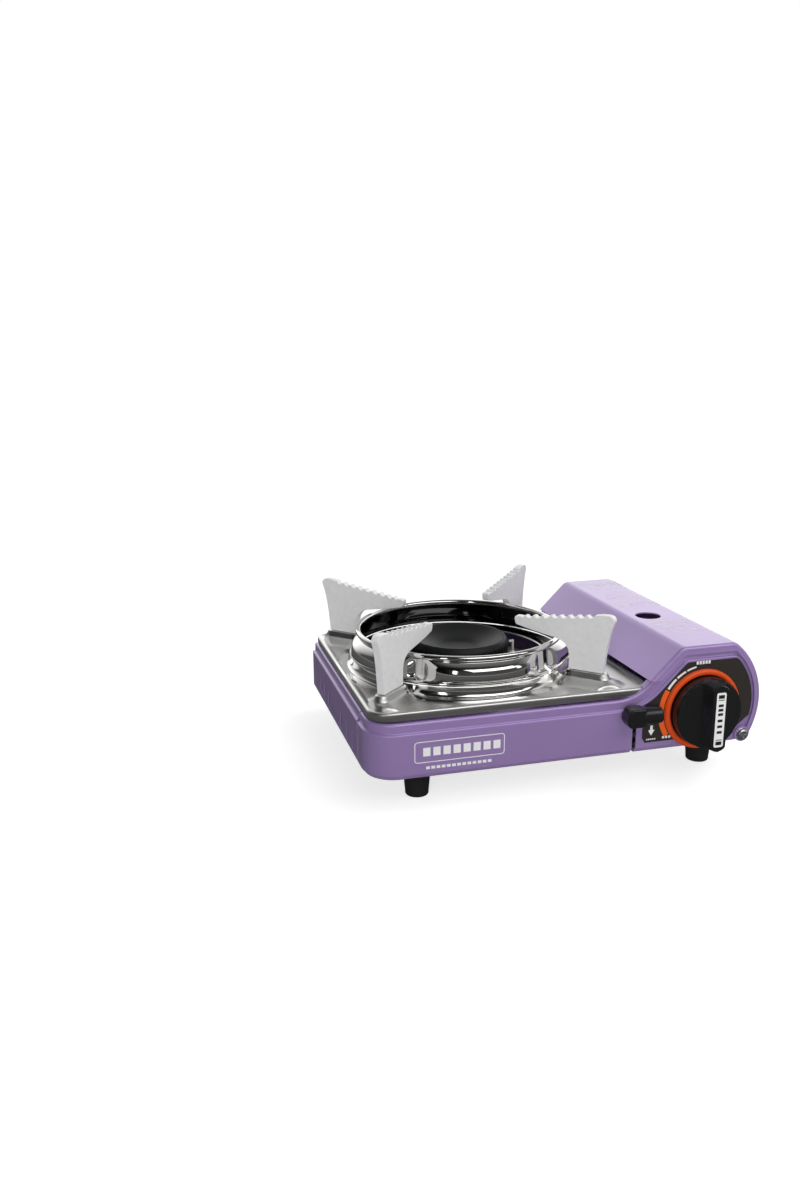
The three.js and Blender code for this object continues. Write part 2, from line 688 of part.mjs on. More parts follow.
// Wall section: radius, height, and how much of the lobe's bulge that point takes.
const windshieldSection = [
  [79, collarZ + gap], [81, collarZ + gap], [82, 75.2], [80.4, 76.6], [78.4, 77.6, 0.9], [77.4, 79.6, 1],
  [76.9, 82.4, 0.86], [76.5, 85.6, 0.54], [76.3, 88.4, 0.2], [76, 90], [77.4, 91.4], [77.4, 93], [76.1, 94.1],
  [74.5, 94.1], [73.3, 93], [73.3, 91.2], [74.9, 90], [75.2, 88, 0.2], [75.4, 85.2, 0.54], [75.8, 82, 0.86],
  [76.3, 79.6, 0.98], [77.4, 78.2, 0.85], [79.2, 76.2], [80.8, 75.2], [79, 74.7],
];
const lobeBulge = 7.4;
const lobes = [[266, 32], [194, 34], [82, 38], [348, 41]]; // middle and half width of each lobe, in degrees
const seamTurn = -56; // where the ends of the rolled strip meet

// Four outward lobes with upright posts between them, and the seam of the strip in one of the posts.
function windshield() {
  const sides = 72;
  const outline = [...windshieldSection, windshieldSection[0]];
  const geometry = new THREE.LatheGeometry(outline.map(([r, z]) => new THREE.Vector2(r, z)), sides);
  const position = geometry.getAttribute('position');
  for (let i = 0; i <= sides; i += 1) {
    const turn = (360 * (i % sides)) / sides;
    const shares = lobes.map(([middle, span]) => {
      const away = Math.abs(((turn - 90 - middle + 900) % 360) - 180);
      return 1 - (away / span) ** 3;
    });
    const bulge = lobeBulge * Math.max(0, ...shares);
    const angle = THREE.MathUtils.degToRad(turn);
    outline.forEach(([r, z, share = 0], j) => {
      const radius = r + bulge * share;
      position.setXYZ(i * outline.length + j, radius * Math.sin(angle), z, radius * Math.cos(angle));
    });
  }
  geometry.rotateX(HALF);
  const ring = solidOf(geometry.translate(ringX, ringY, 0));
  const seam = placed(box(70, 92, -0.7, 0.7, collarZ - 1, 90), (g) => {
    g.rotateZ(THREE.MathUtils.degToRad(seamTurn)).translate(ringX, ringY, 0);
  });
  return cut(ring, seam);
}

// Outline of a pan support: distance from the ring's centre, and height.
function supportOutline() {
  const [inner, outer] = footRadius;
  const footZ = ridgeZ + gap;
  const points = [[inner, footZ], [outer, footZ], [114.3, 82], [115.5, 92], [117.6, 104], [120.2, 111.5]];
  points.push([120.7, 114], [119.6, 116.4], [117, supportTopZ], [107, supportTopZ - 1.2]);
  const teeth = 8;
  const pitch = (105.6 - 54) / teeth;
  const level = (r) => tipTopZ + ((r - tipRadius) * (supportTopZ - 1.6 - tipTopZ)) / (106 - tipRadius);
  for (let i = 0; i < teeth; i += 1) {
    const r = 105.6 - i * pitch;
    points.push([r - 0.2 * pitch, level(r) - 1.7], [r - 0.5 * pitch, level(r) - 1.9]);
    points.push([r - 0.68 * pitch, level(r) - 0.2], [r - 0.95 * pitch, level(r)]);
  }
  points.push([52.8, tipTopZ - 0.9], [51, tipTopZ], [tipRadius + 0.8, tipTopZ], [tipRadius, tipTopZ - 1]);
  points.push([tipRadius + 0.9, 102.4], [79, 97], [84, 95], [87.2, 91.4], [inner, 87]);
  return points;
}

function panSupport(quarter) {
  return onDiagonal(slabY(supportOutline(), -supportT / 2, supportT / 2), quarter);
}

// Screw that holds a support's foot from below, through the ridge.
function supportScrew(quarter) {
  const head = rod('z', 3.2, trayZ[2] - 3, trayZ[2] - sheet - gap, [101, 0], 12);
  return onDiagonal(head, quarter);
}

// ------------------------------------------------------------------ materials
function finish(color, roughness, metalness) {
  return () => new THREE.MeshStandardMaterial({ color, roughness, metalness });
}
const lilacPaint = finish(0x8a72a6, 0.38, 0.35);
const stainless = finish(0xcfcac2, 0.24, 1);
const mirrorSteel = finish(0xd8d6d2, 0.08, 1);
const zincPlate = finish(0xb4b6b8, 0.38, 1);
const castAluminium = finish(0xc4c4c6, 0.62, 0.85);
const blackEnamel = finish(0x17181a, 0.55, 0.1);
const blackPlastic = finish(0x101112, 0.42, 0);
const blackRubber = finish(0x161616, 0.8, 0);
const orangePlastic = finish(0xe04a12, 0.4, 0);
const whitePlastic = finish(0xf0efec, 0.45, 0);
const platePrint = finish(0x25221f, 0.5, 0);
const brass = finish(0xb08d46, 0.35, 1);
const ceramic = finish(0xe9e5dc, 0.4, 0);
const leadRubber = finish(0x8b1d18, 0.6, 0);

// ------------------------------------------------------------------ assembly
const stove = new THREE.Group();

function add(name, solid, material) {
  const mesh = new THREE.Mesh(geometryOf(solid), material());
  mesh.name = name;
  stove.add(mesh);
}

add('front_panel', frontPanel(), lilacPaint);
add('rear_panel', rearPanel(), lilacPaint);
add('side_panel', sidePanel(), lilacPaint);
add('bottom_pan', bottomPan(), zincPlate);
add('heat_shield', heatShield(), zincPlate);
footXs.forEach((x, i) => footYs.forEach((y, j) => {
  add(`foot_${j ? 'rear' : 'front'}_${i ? 'right' : 'left'}`, foot(x, y), blackRubber);
}));

add('cover', cover(), lilacPaint);
add('pivot_screw_front', pivotScrew(), zincPlate);
add('pivot_screw_rear', mirroredY(pivotScrew()), zincPlate);
add('pivot_washer_front', pivotWasher(), zincPlate);
add('pivot_washer_rear', mirroredY(pivotWasher()), zincPlate);

add('control_plate', controlPlate(), platePrint);
add('knob_bezel', knobBezel(), orangePlastic);
add('knob', knob(), blackPlastic);
add('knob_label', knobLabel(), whitePlastic);
add('valve_shaft', valveShaft(), brass);
add('igniter_cam', igniterCam(), blackPlastic);
add('lock_lever', lockLever(), blackPlastic);
add('lever_slide', leverSlide(), zincPlate);
add('lock_fork', lockFork(), zincPlate);

add('regulator_body', regulatorBody(), castAluminium);
add('regulator_bonnet', regulatorBonnet(), castAluminium);
add('regulator_bracket', regulatorBracket(), zincPlate);
add('cartridge_seat', cartridgeSeat(), brass);
add('cartridge_cradle', cartridgeCradle(), zincPlate);
add('piezo_body', piezoBody(), blackPlastic);
add('piezo_striker', piezoStriker(), whitePlastic);
add('spark_lead', sparkLead(), leadRubber);
add('gas_pipe', gasPipe(), brass);
add('gas_jet', gasJet(), brass);
add('jet_bracket', jetBracket(), zincPlate);
add('mixing_tube', mixingTube(), zincPlate);

add('burner_bridge', burnerBridge(), zincPlate);
add('burner_pan', burnerPan(), stainless);
add('burner_body', burnerBody(), castAluminium);
add('burner_head', burnerHead(), blackEnamel);
add('spark_electrode', electrode(), ceramic);
add('electrode_bracket', electrodeBracket(), zincPlate);

add('drip_tray', dripTray(), stainless);
add('windshield', windshield(), mirrorSteel);
['rear_right', 'rear_left', 'front_left', 'front_right'].forEach((place, quarter) => {
  add(`pan_support_${place}`, panSupport(quarter), castAluminium);
  add(`support_screw_${place}`, supportScrew(quarter), zincPlate);
});

// The origin is the middle of the footprint on the ground.
const box3 = new THREE.Box3().setFromObject(stove);
stove.position.set(-(box3.min.x + box3.max.x) / 2, -(box3.min.y + box3.max.y) / 2, -box3.min.z);
stove.updateMatrixWorld(true);

export default stove;
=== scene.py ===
"""Looks of a portable gas stove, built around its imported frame.

Shapes are made in millimetres: x runs to the right from the body's left side, y to the rear from its front
face, and z up from the ground. The functions at the top turn them into pieces in metres.
"""
import json
import math

import bmesh
import bpy
from mathutils import Matrix, Vector
from mathutils.geometry import tessellate_polygon


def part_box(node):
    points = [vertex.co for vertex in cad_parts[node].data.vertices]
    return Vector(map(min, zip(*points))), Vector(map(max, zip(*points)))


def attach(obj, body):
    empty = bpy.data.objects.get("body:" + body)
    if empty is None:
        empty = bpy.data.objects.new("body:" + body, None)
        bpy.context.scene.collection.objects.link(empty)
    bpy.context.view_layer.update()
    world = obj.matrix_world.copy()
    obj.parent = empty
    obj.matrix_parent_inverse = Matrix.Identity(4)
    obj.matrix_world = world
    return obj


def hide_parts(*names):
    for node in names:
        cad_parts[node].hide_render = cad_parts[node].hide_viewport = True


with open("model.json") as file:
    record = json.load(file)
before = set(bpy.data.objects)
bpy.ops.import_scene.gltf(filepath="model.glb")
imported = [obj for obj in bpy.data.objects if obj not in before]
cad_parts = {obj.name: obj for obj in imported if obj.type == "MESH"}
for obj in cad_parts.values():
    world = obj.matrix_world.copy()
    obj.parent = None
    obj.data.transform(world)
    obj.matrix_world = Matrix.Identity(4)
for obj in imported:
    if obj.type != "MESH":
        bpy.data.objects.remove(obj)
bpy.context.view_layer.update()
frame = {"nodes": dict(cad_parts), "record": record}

MM = 0.001
QUARTER, TURN = math.pi / 2, 2 * math.pi          # angles in radians

# ---------------------------------------------------------------- sizes, in millimetres
PANEL_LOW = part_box("front_panel")[0]
REAR_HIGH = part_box("rear_panel")[1]
DEPTH = (REAR_HIGH[1] - PANEL_LOW[1]) / MM
BOTTOM, HEM, STEP, SHOULDER = 20.3, 23.3, 53.0, 60.0   # levels of the body's walls
STEP_IN, FLANGE_IN = 2.0, 9.0                           # depths where the edge's rounding and flange end
SHEET = 1.0                                             # thickness of the body and the cover
CORNER, REAR_CORNER = 22.0, 4.0                         # plan radii of the left corners
SEAM_FRONT, SEAM_REAR = 32.0, 14.0                      # from the front and from the rear face
# The cover's slope is the line x = SLOPE + z; it starts at the level COVER_EDGE and ends at COVER_END.
SLOPE, COVER_TOP, COVER_EDGE, COVER_END = 128.8, 95.0, 72.3, 26.3
ARCH_X, ARCH_Z, ARCH_R = 233.5, 51.0, 54.7
PIVOT_X, PIVOT_Z = 275.5, 25.9
KNOB_X, KNOB_Z = 241.0, 49.0
RING_X, RING_Y = 94.0, 100.0                            # burner, windshield and pan supports
TRAY_X, TRAY_Y = (2.9, 205.3), (3.6, DEPTH - 3.6)
TRAY_FLAT, TRAY_SKIRT = 66.4, 61.5
RIDGE_TOP, COLLAR_TOP = 74.8, 73.4


def metres(point):
    """A point in millimetres from the body's front left corner, in the frame's metres."""
    return Vector((PANEL_LOW[0] + point[0] * MM, PANEL_LOW[1] + point[1] * MM, point[2] * MM))


# ---------------------------------------------------------------- outlines
def arc(u, v, radius, start, end, steps):
    angles = [start + (end - start) * i / steps for i in range(steps + 1)]
    return [(u + radius * math.cos(a), v + radius * math.sin(a)) for a in angles]


def between(a, b, t):
    return tuple(p + (q - p) * t for p, q in zip(a, b))


def smooth(t):
    t = min(1.0, max(0.0, t))
    return t * t * (3 - 2 * t)


def rounded_box(x0, x1, z0, z1, radius, steps=6):
    corners = [(x1, z1, 0), (x0, z1, 1), (x0, z0, 2), (x1, z0, 3)]
    points = []
    for x, z, quarter in corners:
        cx = x - radius if x == x1 else x + radius
        cz = z - radius if z == z1 else z + radius
        points += arc(cx, cz, radius, quarter * QUARTER, (quarter + 1) * QUARTER, steps)
    return points


def crest(slope, top, radius, bend, end, start=None, shoulder=None, hollow=None):
    """Upper edge that the cover, the panels and the control plate share, from the left to the right end.

    The line x = slope + z leads up to the level top, and the arch leads down to the level end. The line begins
    at the level start, or grows out of a hollow at the shoulder.
    """
    if shoulder is None:
        points = [(slope + start, start)]
    else:
        hollow_x = shoulder + hollow + slope - hollow * math.sqrt(2)
        points = arc(hollow_x, shoulder + hollow, hollow, -QUARTER, -QUARTER / 2, 14)
    z = top - bend
    points += arc(z + slope + bend * math.sqrt(2), z, bend, 1.5 * QUARTER, QUARTER, 6)
    turn_x = ARCH_X + math.sqrt((radius - bend) ** 2 - (z - ARCH_Z) ** 2)
    turn = math.atan2(z - ARCH_Z, turn_x - ARCH_X)
    points += arc(turn_x, z, bend, QUARTER, turn, 6)
    points += arc(ARCH_X, ARCH_Z, radius, turn, math.asin((end - ARCH_Z) / radius), 32)
    return points


# ---------------------------------------------------------------- meshes
def loft(loops, closed=False, caps=False):
    """Faces between loops with the same number of points."""
    count = len(loops[0])
    points = [tuple(p) for loop in loops for p in loop]
    faces = []
    for i in range(len(loops) - 1):
        for j in range(count if closed else count - 1):
            a, b = i * count + j, i * count + (j + 1) % count
            faces.append((a, b, b + count, a + count))
    if caps:
        faces.append(tuple(reversed(range(count))))
        faces.append(tuple(range(len(points) - count, len(points))))
    return points, faces


def turned(profile, sides, x=RING_X, y=RING_Y, closed=False):
    """A profile of (radius, z), turned about the upright line through (x, y)."""
    loops = []
    for i in range(sides):
        a = TURN * i / sides
        loops.append([(x + r * math.cos(a), y + r * math.sin(a), z) for r, z in profile])
    loops.append(loops[0])
    if closed:
        loops = [loop + [loop[0]] for loop in loops]
    return loft(loops)


def turned_y(profile, sides, x, z):
    """A profile of (radius, y), turned about the line along y through (x, z)."""
    points, faces = turned(profile, sides, 0, 0)
    return [(x + p[0], p[2], z + p[1]) for p in points], faces


def turned_x(profile, sides, y, z):
    points, faces = turned(profile, sides, 0, 0)
    return [(p[2], y + p[0], z + p[1]) for p in points], faces


def flat_fill(polygon):
    """Triangles over a polygon that lies in one plane."""
    return [tuple(t) for t in tessellate_polygon([[Vector(p) for p in polygon]])]


def slab(outline, place, low, high):
    """A solid between two levels; place(u, v, level) gives a point of the outline in space."""
    loops = [[place(u, v, level) for u, v in outline] for level in (low, high)]
    return loft(loops, closed=True, caps=True)


def on_front(u, v, level):
    return (u, level, v)


def on_side(u, v, level):
    return (u, level, v)


def on_top(u, v, level):
    return (u, v, level)


def joined(shapes):
    points, faces = [], []
    for shape_points, shape_faces in shapes:
        start = len(points)
        points += shape_points
        faces += [tuple(start + i for i in face) for face in shape_faces]
    return points, faces


def to_object(name, shape):
    points, faces = shape
    mesh = bpy.data.meshes.new(name)
    mesh.from_pydata([metres(p) for p in points], [], faces)
    build = bmesh.new()
    build.from_mesh(mesh)
    bmesh.ops.remove_doubles(build, verts=build.verts, dist=0.002 * MM)
    bmesh.ops.dissolve_degenerate(build, edges=build.edges, dist=0.001 * MM)
    bmesh.ops.recalc_face_normals(build, faces=build.faces)
    build.to_mesh(mesh)
    build.free()
    obj = bpy.data.objects.new(name, mesh)
    bpy.context.scene.collection.objects.link(obj)
    return obj


def bevel_edges(obj, width, segments=3, angle=30):
    """Rounds every edge that is sharper than the angle."""
    build = bmesh.new()
    build.from_mesh(obj.data)
    edges = [e for e in build.edges if e.is_manifold and e.calc_face_angle(0) > math.radians(angle)]
    bmesh.ops.bevel(build, geom=edges, offset=width * MM, segments=segments, profile=0.5, affect="EDGES",
                    clamp_overlap=True)
    build.to_mesh(obj.data)
    build.free()


def bake_modifiers(obj):
    graph = bpy.context.evaluated_depsgraph_get()
    mesh = bpy.data.meshes.new_from_object(obj.evaluated_get(graph))
    obj.modifiers.clear()
    old = obj.data
    obj.data = mesh
    mesh.name = old.name
    bpy.data.meshes.remove(old)


def face_towards(obj, direction):
    """Turns a sheet's faces over if most of them look away from direction(point)."""
    total = 0.0
    for polygon in obj.data.polygons:
        total += polygon.area * polygon.normal.dot(Vector(direction(polygon.center)))
    if total < 0:
        obj.data.flip_normals()


def thicken(obj, thickness, even=True):
    solid = obj.modifiers.new("thickness", "SOLIDIFY")
    solid.thickness = thickness * MM
    solid.offset = -1
    solid.use_even_offset = even
    bake_modifiers(obj)


def add_shape(obj, shape):
    """Adds a closed shape to a piece as a further shell."""
    extra = to_object(f"{obj.name}_extra", shape)
    build = bmesh.new()
    build.from_mesh(obj.data)
    build.from_mesh(extra.data)
    build.to_mesh(obj.data)
    build.free()
    bpy.data.meshes.remove(extra.data)


def carve(obj, shapes, operation="DIFFERENCE"):
    for i, shape in enumerate(shapes):
        tool = to_object(f"{obj.name}_tool_{i}", shape)
        boolean = obj.modifiers.new("carve", "BOOLEAN")
        boolean.operation = operation
        boolean.solver = "EXACT"
        boolean.object = tool
        bake_modifiers(obj)
        bpy.data.meshes.remove(tool.data)


def finish_piece(obj, material, body, nodes, sharp=38):
    """Smooth shading, material, and the piece's place in the frame."""
    mesh = obj.data
    mesh.materials.clear()
    mesh.materials.append(material)
    mesh.polygons.foreach_set("use_smooth", [True] * len(mesh.polygons))
    mesh.set_sharp_from_angle(angle=math.radians(sharp))
    weighted = obj.modifiers.new("normals", "WEIGHTED_NORMAL")
    weighted.keep_sharp = True
    weighted.weight = 60
    bake_modifiers(obj)
    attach(obj, body)
    if nodes:
        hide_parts(*nodes)
    return obj


# ---------------------------------------------------------------- materials
SLOT_OF = {}


def feed(tree, socket, value):
    """Gives an input a constant, or links it to the output that feeds it."""
    if isinstance(value, bpy.types.NodeSocket):
        tree.links.new(value, socket)
    else:
        socket.default_value = value


def add_node(tree, kind, inputs=None, **settings):
    node = tree.nodes.new("ShaderNode" + kind)
    for name, value in settings.items():
        setattr(node, name, value)
    for key, value in (inputs or {}).items():
        feed(tree, node.inputs[key], value)
    return node


def ranged(tree, value, start, end, low=0.0, high=1.0):
    """Goes from low to high while the value goes from start to end."""
    limits = {"From Min": start, "From Max": end, "To Min": low, "To Max": high}
    return add_node(tree, "MapRange", {"Value": value, **limits}).outputs["Result"]


def calculated(tree, operation, a, b):
    return add_node(tree, "Math", {0: a, 1: b}, operation=operation).outputs[0]


def mixed(tree, factor, a, b, blend="MIX"):
    """Colour a with b blended over it."""
    return add_node(tree, "Mix", {0: factor, 6: a, 7: b}, data_type="RGBA", blend_type=blend).outputs[2]


def finish(name, slot, colour, roughness, metallic=0.0, grain=(900, 900, 900), grain_bump=0.1,
           grain_depth=0.1, rough_spread=0.06, shade=0.06, shade_scale=40, coat=0.0, coat_roughness=0.1,
           wear=0.0):
    """A material with slow colour variation, a grain in roughness and bump, and paler worn edges."""
    material = bpy.data.materials.new("look_" + name)
    material.use_nodes = True
    tree = material.node_tree
    shader = tree.nodes["Principled BSDF"]
    shader.inputs["Metallic"].default_value = metallic
    shader.inputs["Coat Weight"].default_value = coat
    shader.inputs["Coat Roughness"].default_value = coat_roughness

    place = add_node(tree, "TexCoord").outputs["Object"]
    slow = add_node(tree, "TexNoise", {"Vector": place, "Scale": shade_scale, "Detail": 4}).outputs["Fac"]
    stretched = add_node(tree, "Mapping", {"Vector": place, "Scale": grain}).outputs["Vector"]
    fine = add_node(tree, "TexNoise", {"Vector": stretched, "Scale": 1, "Detail": 3}).outputs["Fac"]

    darker = [max(0.0, c * (1 - shade)) for c in colour] + [1]
    lighter = [min(1.0, c * (1 + shade)) for c in colour] + [1]
    tint = mixed(tree, slow, darker, lighter)
    if wear:
        edge = ranged(tree, add_node(tree, "NewGeometry").outputs["Pointiness"], 0.52, 0.62, 0.0, wear)
        worn = [min(1.0, c * 1.6 + 0.05) for c in colour] + [1]
        tint = mixed(tree, edge, tint, worn)
    feed(tree, shader.inputs["Base Color"], tint)

    smoothest, roughest = max(0.0, roughness - rough_spread), min(1.0, roughness + rough_spread)
    feed(tree, shader.inputs["Roughness"], ranged(tree, fine, 0.0, 1.0, smoothest, roughest))
    bump = add_node(tree, "Bump", {"Height": fine, "Strength": grain_bump, "Distance": grain_depth * MM})
    feed(tree, shader.inputs["Normal"], bump.outputs["Normal"])
    SLOT_OF[material.name] = slot
    return material


def ink(name, slot, colour, roughness=0.45, shade=0.05, shade_scale=200):
    return finish(name, slot, colour, roughness, grain=(1500, 1500, 1500), grain_bump=0.05, grain_depth=0.03,
                  rough_spread=0.05, shade=shade, shade_scale=shade_scale)


# After the colour: roughness, metallic, the grain's scale along each axis, its bump, and its depth in mm.
PAINT = finish("lilac_paint", "lilac_paint", (0.37, 0.255, 0.53), 0.32, 0.30, (2600, 2600, 2600), 0.10, 0.05,
               rough_spread=0.07, shade=0.05, shade_scale=25, coat=0.35, coat_roughness=0.18, wear=0.25)
TRAY_STEEL = finish("tray_steel", "stainless", (0.78, 0.775, 0.76), 0.38, 1.0, (60, 1700, 1700), 0.04, 0.02,
                    rough_spread=0.04, shade=0.03, shade_scale=18)
BRIGHT_STEEL = finish("bright_steel", "mirror_steel", (0.74, 0.73, 0.72), 0.08, 1.0, (90, 90, 260), 0.02,
                      0.03, rough_spread=0.03, shade=0.03, shade_scale=30)
PAN_STEEL = finish("pan_steel", "mirror_steel", (0.46, 0.455, 0.45), 0.42, 0.9, (500, 500, 500), 0.05, 0.03,
                   rough_spread=0.05, shade=0.08, shade_scale=40)
CAST = finish("cast_aluminium", "cast_aluminium", (0.86, 0.86, 0.865), 0.48, 0.18, (1100, 1100, 1100), 0.40,
              0.12, rough_spread=0.12, shade=0.08, shade_scale=260)
ZINC = finish("zinc_plate", "zinc_plate", (0.74, 0.75, 0.76), 0.28, 1.0, (300, 300, 300), 0.10, 0.05,
              rough_spread=0.10, shade=0.12, shade_scale=60)
ENAMEL = finish("black_enamel", "black_enamel", (0.012, 0.0125, 0.013), 0.46, 0.0, (1500, 1500, 1500), 0.20,
                0.06, rough_spread=0.08, shade=0.25, shade_scale=70)
ENAMEL.node_tree.nodes["Principled BSDF"].inputs["Specular IOR Level"].default_value = 0.22
PLASTIC = finish("black_plastic", "black_plastic", (0.010, 0.0105, 0.011), 0.24, 0.0, (1800, 1800, 1800),
                 0.05, 0.03, rough_spread=0.06, shade=0.15, shade_scale=60)
RUBBER = finish("black_rubber", "black_rubber", (0.013, 0.013, 0.014), 0.62, 0.0, (1300, 1300, 1300), 0.30,
                0.08, rough_spread=0.10, shade=0.20, shade_scale=90)
ORANGE = finish("orange_plastic", "orange_plastic", (0.70, 0.075, 0.010), 0.34, 0.0, (1500, 1500, 1500), 0.08,
                0.04, rough_spread=0.05, shade=0.06, shade_scale=60)
WHITE = finish("white_plastic", "white_plastic", (0.84, 0.84, 0.83), 0.40, 0.0, (1500, 1500, 1500), 0.06,
               0.04, rough_spread=0.05, shade=0.03, shade_scale=60)
PLATE = finish("plate_print", "plate_print", (0.030, 0.026, 0.023), 0.40, 0.0, (1400, 1400, 1400), 0.12, 0.04,
               rough_spread=0.06, shade=0.12, shade_scale=70)
BRASS = finish("brass", "brass", (0.62, 0.44, 0.16), 0.30, 1.0, (500, 500, 500), 0.10, 0.05,
               rough_spread=0.08, shade=0.10, shade_scale=50)
CERAMIC = finish("ceramic", "ceramic", (0.80, 0.77, 0.70), 0.30, 0.0, (700, 700, 700), 0.08, 0.05,
                 rough_spread=0.06, shade=0.05, shade_scale=60)
LEAD = finish("lead_rubber", "lead_rubber", (0.25, 0.02, 0.015), 0.50, 0.0, (900, 900, 900), 0.15, 0.05,
              rough_spread=0.08, shade=0.1, shade_scale=60)
WHITE_INK = ink("white_ink", "lilac_paint", (0.80, 0.79, 0.80))
PALE_INK = ink("pale_ink", "lilac_paint", (0.66, 0.60, 0.72), shade=0.10, shade_scale=400)
PLATE_INK = ink("plate_ink", "plate_print", (0.82, 0.81, 0.79))
ORANGE_INK = ink("orange_ink", "plate_print", (0.80, 0.12, 0.012), roughness=0.42)
BLACK_INK = ink("black_ink", "white_plastic", (0.012, 0.012, 0.012))


def from_ring(tree):
    """The way from the ring's centre, on the ground, to the shaded point."""
    place = add_node(tree, "TexCoord").outputs["Object"]
    centre = metres((RING_X, RING_Y, 0))
    return add_node(tree, "VectorMath", {0: place, 1: centre}, operation="SUBTRACT").outputs["Vector"]


def levelled(tree, vector):
    return add_node(tree, "VectorMath", {0: vector, 1: (1, 1, 0)}, operation="MULTIPLY").outputs["Vector"]


def polish_inside(material, radius, polished):
    """Lowers the roughness around the burner, where the tray is drawn and polished."""
    tree = material.node_tree
    roughness = tree.nodes["Principled BSDF"].inputs["Roughness"]
    satin = roughness.links[0].from_socket
    reach = add_node(tree, "VectorMath", {0: levelled(tree, from_ring(tree))}, operation="LENGTH")
    outside = ranged(tree, reach.outputs["Value"], radius * MM, (radius + 5) * MM)
    feed(tree, roughness, add_node(tree, "Mix", {0: outside, 2: polished, 3: satin}).outputs[0])


def painted_shade_inside(material, dark, top):
    """Darkens the colour of the inner face behind the burner, below the rim: painted shade that stands in for
    the wall's dark reflection of the burner and its shade.
    """
    tree = material.node_tree
    colour = tree.nodes["Principled BSDF"].inputs["Base Color"]
    bright = colour.links[0].from_socket
    way = from_ring(tree)
    normal = add_node(tree, "NewGeometry").outputs["Normal"]
    outwards = add_node(tree, "VectorMath", {0: levelled(tree, way), 1: normal}, operation="DOT_PRODUCT")
    split = add_node(tree, "SeparateXYZ", {0: way})
    inner = ranged(tree, outwards.outputs["Value"], -5 * MM, -25 * MM)
    behind = ranged(tree, split.outputs["Y"], 10 * MM, 30 * MM)
    below = ranged(tree, split.outputs["Z"], (top + 0.4) * MM, (top - 0.4) * MM)
    share = calculated(tree, "MULTIPLY", calculated(tree, "MULTIPLY", inner, behind), below)
    # the mix towards dark is painted shade, not a colour of the steel
    feed(tree, colour, mixed(tree, share, bright, (dark, dark, dark, 1)))


polish_inside(TRAY_STEEL, 88, 0.10)
# painted shade: the windshield's inner wall behind the burner is darkened in its colour, standing in for a
# dark reflection
painted_shade_inside(BRIGHT_STEEL, 0.05, 89.8)
MATERIALS = (PAINT, TRAY_STEEL, BRIGHT_STEEL, CAST, ZINC, ENAMEL, PLASTIC, RUBBER, ORANGE, WHITE, PLATE,
             BRASS, CERAMIC, LEAD)
BY_SLOT = {SLOT_OF[material.name]: material for material in MATERIALS}


def colour_carried_nodes():
    for row in frame["record"]["subparts"]:
        for slot in frame["nodes"][row["node"]].material_slots:
            slot.material = BY_SLOT[row["material_slot"]]


# ---------------------------------------------------------------- body
def s_step(steps=5):
    """Section of the pressed step: pairs of depth from the face and inset from the field's outline."""
    inner, outer = 0.9, 1.1
    points = []
    for i in range(steps + 1):
        a = QUARTER * i / steps
        points.append((outer + inner * math.cos(a), -inner + inner * math.sin(a)))
    for i in range(1, steps + 1):
        a = QUARTER * i / steps
        points.append((outer - outer * math.sin(a), outer - outer * math.cos(a)))
    return points


def edge_round(radius=2.0, steps=6):
    """Section of the rounded outer edge: pairs of depth and inset from the panel's outline."""
    points = [(FLANGE_IN, 0.0)]
    for i in range(steps + 1):
        a = QUARTER * i / steps
        points.append((STEP_IN + radius * (1 - math.sin(a)), radius * (1 - math.cos(a))))
    return points


def outer_path(inset):
    """Edge of a panel from the hollow beside the tray, over the arch and round the lug of the pivot."""
    lug = 5.2 - inset
    under = 1.5 + inset
    path = crest(SLOPE + under * math.sqrt(2), COVER_TOP - under, ARCH_R - under, 6.5 - inset,
                 27 + inset * 1.4, shoulder=SHOULDER - inset, hollow=33 + inset)
    return path + arc(PIVOT_X, PIVOT_Z, lug, 0.1, -QUARTER * 1.05, 5) + [(270 - inset, BOTTOM + inset)]


def field_path(inset):
    """Edge of the raised field inside the panel's edge."""
    path = crest(141.6 + inset * math.sqrt(2), 85.7 - inset, ARCH_R - 6.2 - inset, 6 - inset,
                 40 + inset * 0.5, shoulder=STEP - inset, hollow=40 + inset)
    end = (262.5 - inset * 0.4, HEM + inset)
    return path + [between(path[-1], end, (i + 1) / 7) for i in range(7)]


def bent(u, depth, z, corner):
    """Folds the flat pattern of a panel round its left corner."""
    if u >= corner:
        return (u, depth, z)
    depth = min(depth, corner - 0.1)
    angle = (corner - u) / corner
    if angle <= QUARTER:
        reach = corner - depth
        return (corner - reach * math.sin(angle), corner - reach * math.cos(angle), z)
    return (depth, corner + (angle - QUARTER) * corner, z)


def panel_shape(corner, seam):
    """Sheet of the front or rear panel: a pressed field in a rounded edge, bent round the left corner."""
    left = corner - corner * QUARTER - (seam - corner)
    wall = 177.0
    bend_steps = 16
    columns = [left] + [corner - corner * QUARTER * (1 - i / bend_steps) for i in range(bend_steps + 1)]
    columns += [60.0, 100.0, 140.0, wall]

    def loop(path, depth, top, bottom):
        flat = [(u, top) for u in columns] + list(path) + [(u, bottom) for u in reversed(columns)]
        return [bent(u, depth, z, corner) for u, z in flat]

    loops = [loop(outer_path(i), d, SHOULDER - i, BOTTOM + i) for d, i in edge_round()]
    loops += [loop(field_path(i), d, STEP - i, HEM + i) for d, i in s_step()]
    shell = loft(loops)
    field_inset = 1.1
    top, bottom = STEP - field_inset, HEM + field_inset
    rows = [top, (top * 2 + bottom) / 3, (top + bottom * 2) / 3, bottom]
    field = loft([[bent(u, 0, z, corner) for z in rows] for u in columns])
    right = [(wall, 0, top)] + [(x, 0, z) for x, z in field_path(field_inset)] + [(wall, 0, bottom)]
    right += [(wall, 0, z) for z in reversed(rows[1:3])]
    return joined([shell, field, (right, flat_fill(right))])


